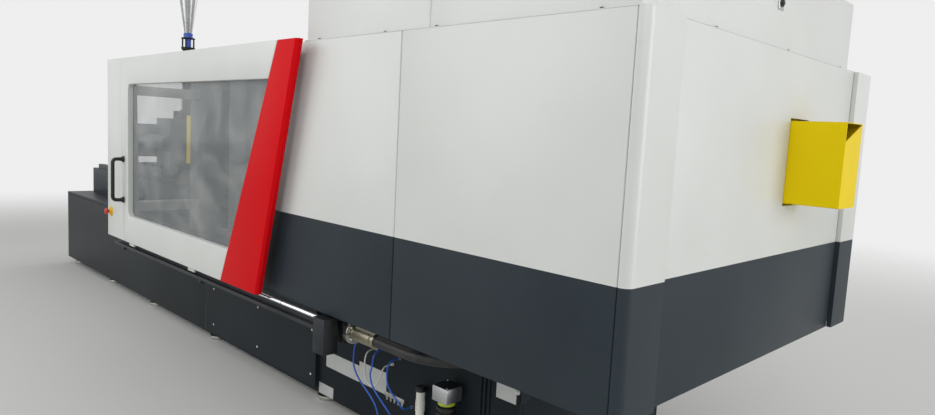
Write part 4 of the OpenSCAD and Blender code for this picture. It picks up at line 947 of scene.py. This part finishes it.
# Slide gate block, pipe with clamps, open cage with the blue tube, and the blue socket of the cone
def addHopperNeck(values):
    x, z0, z1 = unit["x"], values["neck"], values["cage"]
    block = recess(addBlock("slideGate", (x - 0.09, -0.09, z0), (x + 0.09, 0.09, z0 + 0.07), 0.004),
                   -north, 0.012, 0.006, 0.008)
    pipe = addTurned("neckPipe", (x, 0, z0 + 0.069), sky,
                     [(0, 0.062), (0.012, 0.062), (0.014, 0.045), (0.24, 0.045), (0.241, 0.051),
                      (0.259, 0.051), (0.26, 0.045), (0.535, 0.045), (0.537, 0.055), (0.5515, 0.055)], 40)
    plates = [addTurned("cagePlate", (x, 0, z), sky, [(0, 0.058), (0.008, 0.058)], 40, 0.001)
              for z in (z1, z1 + 0.082)]
    bars = []
    for turn in [math.radians(45 + 90 * i) for i in range(4)]:
        across, y = x + 0.049 * math.cos(turn), 0.049 * math.sin(turn)
        bars.append(addBlock("cageBar", (across - 0.0055, y - 0.0055, z1 + 0.004),
                             (across + 0.0055, y + 0.0055, z1 + 0.086), 0.0012))
    neck = joinPieces("hopperNeck", [block, pipe] + plates + bars)
    blue = joinPieces("neckSocket", [
        addTurned("tube", (x, 0, z1 + 0.006), sky, [(0, 0.024), (0.078, 0.024)]),
        addTurned("socket", (x, 0, z1 + 0.089), sky,
                  [(0, 0.0385), (0.034, 0.0385), (0.036, 0.037), (0.041, 0.037)], 40)])
    dress(neck, blackCoat, "carriage", "hopper_neck")
    dress(blue, bluePlastic, "carriage", "hopper_neck")


addHopperNeck(hopper)


# Spun cone and receiver, hollow, with rolled rims, clamp rings, suction port and the hinge's ears
def addHopper(values):
    x, z, port = unit["x"], values["foot"], values["port"]
    footR, coneR, r = values["footR"], values["coneR"], values["receiverR"]
    cone, top = values["cone"], values["cone"] + values["receiver"]
    shell = addTurned("hopper", (x, 0, z), sky,
                      [(0, footR), (0.006, footR + 0.001), (cone - 0.012, coneR - 0.003),
                       (cone - 0.004, coneR + 0.004), (cone, r - 0.006), (cone + 0.004, r), (top - 0.006, r),
                       (top - 0.006, r + 0.003), (top, r + 0.003), (top, r - 0.003), (cone + 0.003, r - 0.003),
                       (cone + 0.003, coneR - 0.003), (0.003, footR - 0.003)], 56)
    spout = [addRing("port", (x - r + 0.004, 0, port), -east, 0.025, 0.003, 0.074, 32),
             addRing("portBead", (x - r - 0.062, 0, port), -east, 0.027, 0.003, 0.006, 32, 0.001)]
    lock = addBlock("clampLock", (x - 0.012, -r - 0.016, z + cone + 0.018), (x + 0.012, -r - 0.001, z + cone + 0.036))
    rings = [addRing("clampRing", (x, 0, z + step), sky, r + 0.0035, 0.004, 0.014, 56, 0.001)
             for step in (cone + 0.02, cone + 0.13)]
    ears = [addBlock("ear", (x + step, y, z0), (x + step + 0.012, 0.146, z1), 0.001)
            for step in (-0.045, 0.033) for y, z0, z1 in ((r - 0.012, 2.8, 2.836), (r + 0.007, 2.835, 2.856))]
    return joinPieces("hopper", [shell] + spout + [lock] + rings + ears)


dress(addHopper(hopper), stainlessSheet, "carriage", "hopper")


# Pressed lid with its filter drum, the hinge's leaf and pin
def addHopperLid(values):
    x, z = unit["x"], values["foot"] + values["cone"] + values["receiver"] + 0.0005
    lid = addTurned("hopperLid", (x, 0, z), sky,
                    [(0, 0.1235), (0.001, 0.125), (0.003, 0.125), (0.004, 0.1235), (0.004, 0.072),
                     (0.006, 0.07), (0.006, 0.061)], 56)
    leaf = addBlock("leaf", (x - 0.03, 0.116, z + 0.0005), (x + 0.03, 0.144, z + 0.012), 0.001)
    pin = addTurned("pin", (x - 0.045, 0.136, z + 0.006), east,
                    [(0, 0.003), (0.001, 0.004), (0.089, 0.004), (0.09, 0.003)], 20)
    drum = addTurned("lidDrum", (x, 0, z + 0.005), sky,
                     [(0, 0.06), (0.05, 0.06), (0.051, 0.057), (0.055, 0.057), (0.056, 0.06),
                      (0.08, 0.06), (0.087, 0.054), (0.088, 0.03)], 48)
    dress(joinPieces("hopperLid", [lid, leaf, pin]), stainlessSheet, "hopper_lid", "hopper_lid")
    dress(drum, blackNylon, "hopper_lid", "hopper_lid")


addHopperLid(hopper)
slideScrews = [(x, y, 1.08) for x in (-2.4, -2.17, -1.94, -1.76) for y in (-0.275, 0.275)]
dress(repeated("slideScrews", addScrewHead(0.015, 0.018), slideScrews), blackCoat, "carriage")
dress(addHandle("purgeHandle", purgeHandle), blackNylon, "purge_guard")
print("injection unit made")

# hydraulic valve on the base's side: ribbed body, banded foot, square cap

valve = {"place": (2.235, -0.62), "foot": 0.18, "cap": 0.38, "top": 0.45, "half": 0.045,
         "body": [(0, 0.053), (0.003, 0.055), (0.018, 0.055), (0.02, 0.05), (0.03, 0.05), (0.032, 0.055),
                  (0.068, 0.055), (0.071, 0.053), (0.071, 0.04), (0.084, 0.04), (0.085, 0.042),
                  (0.1, 0.042), (0.101, 0.037), (0.108, 0.037), (0.109, 0.042), (0.125, 0.042),
                  (0.126, 0.036), (0.135, 0.036), (0.136, 0.042), (0.15, 0.042), (0.151, 0.036),
                  (0.16, 0.036), (0.161, 0.042), (0.175, 0.042), (0.176, 0.03), (0.2, 0.03)]}


def addValve(values):
    (x, y), foot, cap, top, half = (values[key] for key in ("place", "foot", "cap", "top", "half"))
    thin = half - 0.001
    block = recess(addBlock("valveCap", (x - half, y - half, cap), (x + half, y + half, top - 0.005), 0.003),
                   -sky, 0.01, 0.004)
    lid = addBlock("valveLid", (x - thin, y - thin, top - 0.0052), (x + thin, y + thin, top - 0.002), 0.0012)
    arm = addBlock("valveArm", (x - 0.05, y + 0.03, 0.19), (x + 0.05, baseSide, 0.24), 0.003)
    rings = {greenPlastic: addRing("valveRing", (x, y, cap - 0.017), sky, 0.037, 0.006, 0.015, 40, 0.001),
             yellowPlastic: addRing("valveBand", (x, y, foot + 0.034), sky, 0.0556, 0.002, 0.032, 48)}
    parts = {brushedAluminium: block, blackNylon: addTurned("valveBody", (x, y, foot), sky, values["body"], 48)}
    for material, piece in [*parts.items(), *rings.items(), (blackCoat, lid), (blackCoat, arm)]:
        dress(piece, material, "machine", "valve_block")
    corners = [(x - 0.036, y + 0.036, top - 0.0022), (x + 0.036, y - 0.036, top - 0.0022)]
    dress(repeated("valveScrews", addScrewHead(0.005, 0.003), corners), zinc)


baseSide = -0.55
addValve(valve)

# screwed ports in the base's side, one at each end of every line and cable


def addPorts(name, routes, material):
    ports = [addTurned("port", (end.x, baseSide, end.z), -north,
                       [(0, 0.008), (0.004, 0.008), (0.004, 0.0062), (0.0125, 0.0062)], 6)
             for path in routes for end in (path[0], path[-1])]
    dress(joinPieces(name, ports), material, "machine", "valve_block")


addPorts("linePorts", [linePath(line) for line in lines.values()], zinc)
addPorts("cablePorts", [laid(cablePoints)], cableWhite)

# hose fitting: elbow block, split flange with bolts, ribbed ferrule, and the block at the hose's end

fitting = {"x": 1.82, "ferrule": 1.925, "y": -0.875, "z": 0.64, "endX": 2.505, "bolts": 0.036}


def addHoseFitting(values):
    x, face, y, z, end = (values[key] for key in ("x", "ferrule", "y", "z", "endX"))
    elbow = addBlock("elbow", (x, y - 0.05, z - 0.05), (face - 0.024, y + 0.05, z + 0.05), 0.006, 3)
    arm = addBlock("elbowArm", (x, y + 0.049, z - 0.03), (x + 0.06, baseSide, z + 0.02), 0.004)
    block = addBlock("hoseBlock", (end - 0.05, -0.57, z - 0.05), (end + 0.05, baseSide, z + 0.05), 0.004)
    collar = addTurned("hoseCollar", (end, -0.5695, z), -north, [(0, 0.038), (0.003, 0.038), (0.004, 0.034)], 40)
    dress(joinPieces("hoseBlocks", [elbow, arm, block, collar]), blackCoat, "machine", "hose_fitting")

    # two halves with a gap between them, clamped over the ferrule's shoulder
    start = Vector((face - 0.025, y, z))
    ring = addTurned("splitFlange", start, east,
                     [(0, 0.049), (0.0015, 0.05), (0.0225, 0.05), (0.024, 0.0485), (0.025, 0.036)], 40)
    cutAway(ring, addBox("gap", start + Vector((-0.01, -0.06, -0.002)), start + Vector((0.04, 0.06, 0.002))))
    smooth(ring)
    dress(ring, zinc, "machine", "hose_fitting")

    ribs = [(step / 1000 + rise, radius) for step in range(6, 120, 10)
            for rise, radius in ((0, 0.033), (0.006, 0.033), (0.007, 0.0322), (0.009, 0.0322))]
    profile = [(0, 0.029), (0.002, 0.031), *ribs, (0.128, 0.033), (0.146, 0.033), (0.15, 0.0295), (0.15, 0.0255)]
    dress(addTurned("ferrule", (face, y, z), east, profile, 40), zincYellow, "machine", "hose_fitting")

    turns = [math.radians(45 + 90 * i) for i in range(4)]
    bolts = [(face - 0.001, y + values["bolts"] * math.cos(turn), z + values["bolts"] * math.sin(turn)) for turn in turns]
    dress(repeated("flangeBolts", addScrewHead(0.0085, 0.012), bolts, east), zinc)


addHoseFitting(fitting)
print("valve and hose fitting made")

# small things on the base's rear side

plates = {"stripPlateA": ((1.228, 1.521), (0.229, 0.313)), "stripPlateB": ((1.522, 1.742), (0.231, 0.338)),
          "smallPlate": ((1.165, 1.3), (0.066, 0.125)), "endPlate": ((2.45, 2.557), (0.446, 0.516))}
for name, ((x0, x1), (z0, z1)) in plates.items():
    dress(addBlock(name, (x0, baseSide - 0.0016, z0), (x1, baseSide + 0.0005, z1), 0.0005, 1), blankPlate)
coverSide = -0.575
coverScrews = ((-0.075, 0.392), (-0.075, 0.15), (1.118, 0.404), (1.115, 0.157), (0.52, 0.398), (0.52, 0.153))
for name, side in (("coverScrews", 1), ("frontCoverScrews", -1)):
    places = [(x, side * coverSide, z) for x, z in coverScrews]
    dress(repeated(name, addScrewHead(0.0075, 0.004), places, -side * north), zinc)

filterShape = {"x": 2.03, "y": -0.585, "low": 0.235, "high": 0.352, "slots": (0.026, 0.048)}


# Lubricant cartridge held by a black collar
def addCartridge(values):
    x, y, low, high = (values[key] for key in ("x", "y", "low", "high"))
    body = addTurned("cartridge", (x, y, low), sky,
                     [(0, 0.016), (0.003, 0.02), (0.02, 0.02), (0.021, 0.022), (0.07, 0.022), (0.071, 0.02),
                      (high - low - 0.006, 0.02), (high - low, 0.018)], 36)
    for z in values["slots"]:
        cutAway(body, addBox("slot", (x - 0.004, y - 0.03, low + z), (x + 0.004, y - 0.018, low + z + 0.014)))
    smooth(body)
    collar = addTurned("collar", (x, y, high), sky, [(-0.004, 0.024), (0.012, 0.024), (0.014, 0.02), (0.018, 0.02)], 36)
    clip = addBlock("clip", (x - 0.012, y, high - 0.01), (x + 0.012, baseSide, high + 0.012))
    foot = addBlock("foot", (x - 0.014, y - 0.012, low - 0.012), (x + 0.014, baseSide, low + 0.002))
    dress(body, filterWhite)
    dress(joinPieces("cartridgeHolder", [collar, clip, foot]), blackNylon)


addCartridge(filterShape)

# small manifold with a row of push-in fittings, upright ribs near the base's end, a lamp and gussets

bar = addBlock("manifold", (1.749, -0.566, 0.236), (1.893, baseSide, 0.256))
plugs = [addTurned("plug", (1.765 + 0.028 * i, -0.56, 0.238), -sky,
                   [(0, 0.0065), (0.01, 0.0065), (0.011, 0.0052), (0.02, 0.0052)], 16) for i in range(5)]
dress(joinPieces("manifold", [bar] + plugs), zinc)
uprights = [addBlock("upright", (x, baseSide - 0.008, 0.09), (x + 0.012, baseSide, 0.6)) for x in (2.36, 2.384, 2.408)]
dress(joinPieces("sideUprights", uprights), shadedSlateCoat)
dress(addTurned("sideLamp", (2.563, baseSide, 0.5), -north,
                [(0, 0.011), (0.003, 0.011), (0.004, 0.008), (0.009, 0.007), (0.011, 0.004)], 24), filterWhite)

gusset = {"x": (2.576, 2.8), "y": (-0.548, -0.524), "z": (0.45, 0.7195)}


# Welded web under the bearer at the base's end
def addGusset(values):
    (x0, x1), (y0, y1), (z0, z1) = values["x"], values["y"], values["z"]
    piece = addBox("gusset", (x0, y0, z0), (x1, y1, z1))
    sliceOff(piece, (x0, 0, z0), Vector((z1 - z0, 0, x0 - x1)).normalized())
    roundEdges(piece, 0.002, 1)
    return piece


dressPair("gusset", addGusset(gusset), slateCoat)
print("base details made")

# operator panel: housing, screen, keys, dial and stop button, on its pivot

operator = {"x": (-1.065, -0.685), "y": (1.005, 1.085), "z": (1.17, 1.63), "pivot": (-0.653, 1.025),
            "face": 1.0815, "keyX": -1.03, "keyZ": (1.345, 1.32, 1.295)}
controls = {
    "panelDial": (blackNylon, [-0.76], 1.325, 32,
                  [(0, 0.024), (0.002, 0.024), (0.0022, 0.019), (0.016, 0.018), (0.018, 0.016)]),
    "panelStopRing": (yellowPlastic, [-0.76], 1.235, 36, [(0, 0.03), (0.003, 0.03), (0.004, 0.029)]),
    "panelStop": (redPlastic, [-0.76], 1.235, 36,
                  [(0.003, 0.01), (0.011, 0.01), (0.0115, 0.016), (0.015, 0.019), (0.021, 0.019),
                   (0.026, 0.014), (0.0275, 0.006)]),
    "panelSwitches": (blackNylon, [-1.0, -0.94, -0.88], 1.235, 28,
                      [(0, 0.014), (0.003, 0.014), (0.0032, 0.011), (0.012, 0.0105), (0.013, 0.008)]),
}


def addOperatorPanel(values):
    (x0, x1), (y0, y1), (z0, z1), (px, py) = (values[key] for key in ("x", "y", "z", "pivot"))
    face = values["face"]
    case = recess(addBlock("case", (x0, y0, z0), (x1, y1, z1), 0.014, 4), north, 0.012, 0.003, 0.05)
    column = addTurned("column", (px, py, 1.21), sky,
                       [(0, 0.007), (0.02, 0.007), (0.02, 0.012), (0.36, 0.012), (0.36, 0.007), (0.38, 0.007)], 28)
    web = addBlock("web", (x1 - 0.002, py - 0.008, 1.24), (px, py + 0.008, 1.56))
    dress(joinPieces("operatorPanel", [case, column, web]), slateCoat, "control_panel", "control_panel")
    screen = recess(addBlock("screen", (-1.03, 1.081, 1.39), (-0.72, 1.088, 1.6)), north, 0.012, 0.0015, 0.03)
    dress(screen, screenGlass, "control_panel", "control_panel")
    keys = [addBlock("key", (x, face, z), (x + 0.022, face + 0.004, z + 0.016))
            for z in values["keyZ"] for x in [values["keyX"] + 0.03 * i for i in range(7)]]
    dress(joinPieces("panelKeys", keys), keyGrey, "control_panel")
    for name, (material, columns, z, sides, profile) in controls.items():
        knobs = [addTurned("knob", (x, face, z), north, profile, sides) for x in columns]
        dress(joinPieces(name, knobs), material, "control_panel")


addOperatorPanel(operator)

# cabinet door: handle cover and louvres

louvres = [addBlock("louvre", (x, 0.9535, z), (x + 0.22, 0.959, z + 0.006), 0.0015)
           for x in (-3.2, -2.8) for z in [0.3 + 0.018 * i for i in range(9)]]
dress(joinPieces("doorLouvres", louvres), whiteCoat, "cabinet_door")
dress(addBlock("doorGrip", (-3.352, 0.9535, 0.898), (-3.313, 0.973, 1.062), 0.005, 3), blackNylon, "cabinet_door")
print("front side made")

# CAD nodes with the right shape: a copy is merged, its edges are rounded, and it stands in


def soften(node, body, material, width):
    words = node.split("_")
    piece = bpy.data.objects.new(words[0] + "".join(word.title() for word in words[1:]),
                                 frame["nodes"][node].data.copy())
    scene.collection.objects.link(piece)
    edit(piece)
    bpy.ops.mesh.remove_doubles(threshold=0.00001)
    bpy.ops.mesh.dissolve_limited(angle_limit=math.radians(1.0))
    finishEdit()
    if width:
        roundEdges(piece, width, 2, 35)
    smooth(piece)
    dress(piece, material, body, node)


softened = [
    ("machine", shadedSlateCoat, {"base_sides": 0.003, "base_ribs": 0, "base_top_plate": 0.003, "base_covers": 0}),
    ("machine", zinc, {"levelling_feet": 0.0015}),
    ("machine", groundSteel, {"platen_rails": 0.002}),
    ("machine", iron, {"stationary_platen": 0.004, "cylinder_platen": 0.004, "pump_unit": 0.002, "cover_frame": 0.002}),
    ("machine", hardChrome, {"tie_bars": 0.003, "guide_rods": 0.0015}),
    ("machine", turnedSteel, {"tie_bar_nuts": 0.003, "prefill_valve": 0.002}),
    ("machine", blackCoat, {"platen_cylinders": 0.002}),
    ("machine", slateCoat, {"oil_tank": 0.003, "injection_bed": 0.003}),
    ("machine", darkAluminium, {"gate_rails": 0.0008}),
    ("machine", whiteCoat, {"control_cabinet": 0}),
    ("clamp", iron, {"moving_platen": 0.004}),
    ("clamp", hardChrome, {"clamp_rams": 0.003}),
    ("ejector", groundSteel, {"ejector": 0.002}),
    ("carriage", iron, {"injection_housing": 0.003}),
    ("carriage", turnedSteel, {"barrel": 0.002}),
    ("screw_drive", iron, {"screw_drive": 0.003}),
    ("purge_guard", yellowCoat, {"purge_guard": 0.0008}),
    ("cabinet_door", whiteCoat, {"cabinet_door": 0.0008}),
    ("main_switch", redPlastic, {"main_switch": 0.0015}),
]
for body, material, widths in softened:
    for node, width in widths.items():
        soften(node, body, material, width)
print("machine bodies made")

# floor and light: the floor turns into the pale background a few metres away

background = 0.86
white = (1.0, 1.0, 1.0, 1.0)
deselectAll()
bpy.ops.mesh.primitive_plane_add(size=80, location=(0, 0, 0))
floor = settle("floor")
material, tree, place = startMaterial("plain floor")
surface = addNode(tree, "BsdfPrincipled", {"Base Color": srgb("#D9D9D6"), "Roughness": 0.9})
far = addNode(tree, "VectorMath", {"operation": "LENGTH"}, {0: place}).outputs["Value"]
fade = addNode(tree, "MapRange", {**eased, "From Min": 5.0, "From Max": 11.0}, {"Value": far})
glow = addNode(tree, "Emission", {"Color": white, "Strength": background})
seen = addNode(tree, "LightPath").outputs["Is Camera Ray"]
share = addNode(tree, "Math", {"operation": "MULTIPLY"}, {0: fade, 1: seen})
blend = addNode(tree, "MixShader", {}, {0: share, 1: surface, 2: glow})
addNode(tree, "OutputMaterial", {}, {"Surface": blend})
floor.data.materials.append(material)

lamps = {
    "key": {"place": (6.5, -5.5, 4.4), "size": 4.0, "power": 135.0},
    "fill": {"place": (10.0, 2.6, 2.2), "size": 5.0, "power": 225.0},
    "side": {"place": (-1.6, -5.5, 3.4), "size": 5.0, "power": 125.0},
    "front": {"place": (-2.0, 8.0, 5.0), "size": 6.0, "power": 220.0},
}
for name, lamp in lamps.items():
    aim = (Vector((0.6, 0, 0.8)) - Vector(lamp["place"])).to_track_quat("-Z", "Y")
    bpy.ops.object.light_add(type="AREA", location=lamp["place"], rotation=aim.to_euler())
    light = bpy.context.object
    light.name = name
    light.data.shape = "DISK"
    light.data.size = lamp["size"]
    light.data.energy = lamp["power"]

world = bpy.data.worlds.new("pale room")
scene.world = world
world.use_nodes = True
tree = world.node_tree
tree.nodes.clear()
rays = addNode(tree, "LightPath").outputs
clear = addNode(tree, "Math", {"operation": "MAXIMUM"}, {0: rays["Is Camera Ray"], 1: rays["Is Transmission Ray"]})
seen = addNode(tree, "Math", {"operation": "MAXIMUM"}, {0: clear, 1: rays["Is Glossy Ray"]})
soft = addNode(tree, "Background", {"Color": (0.98, 0.99, 1.0, 1.0), "Strength": 0.46})
pale = addNode(tree, "Background", {"Color": white, "Strength": background})
mixed = addNode(tree, "MixShader", {}, {0: seen, 1: soft, 2: pale})
addNode(tree, "OutputWorld", {}, {"Surface": mixed})
scene.view_settings.view_transform = "Standard"
print("stage set")
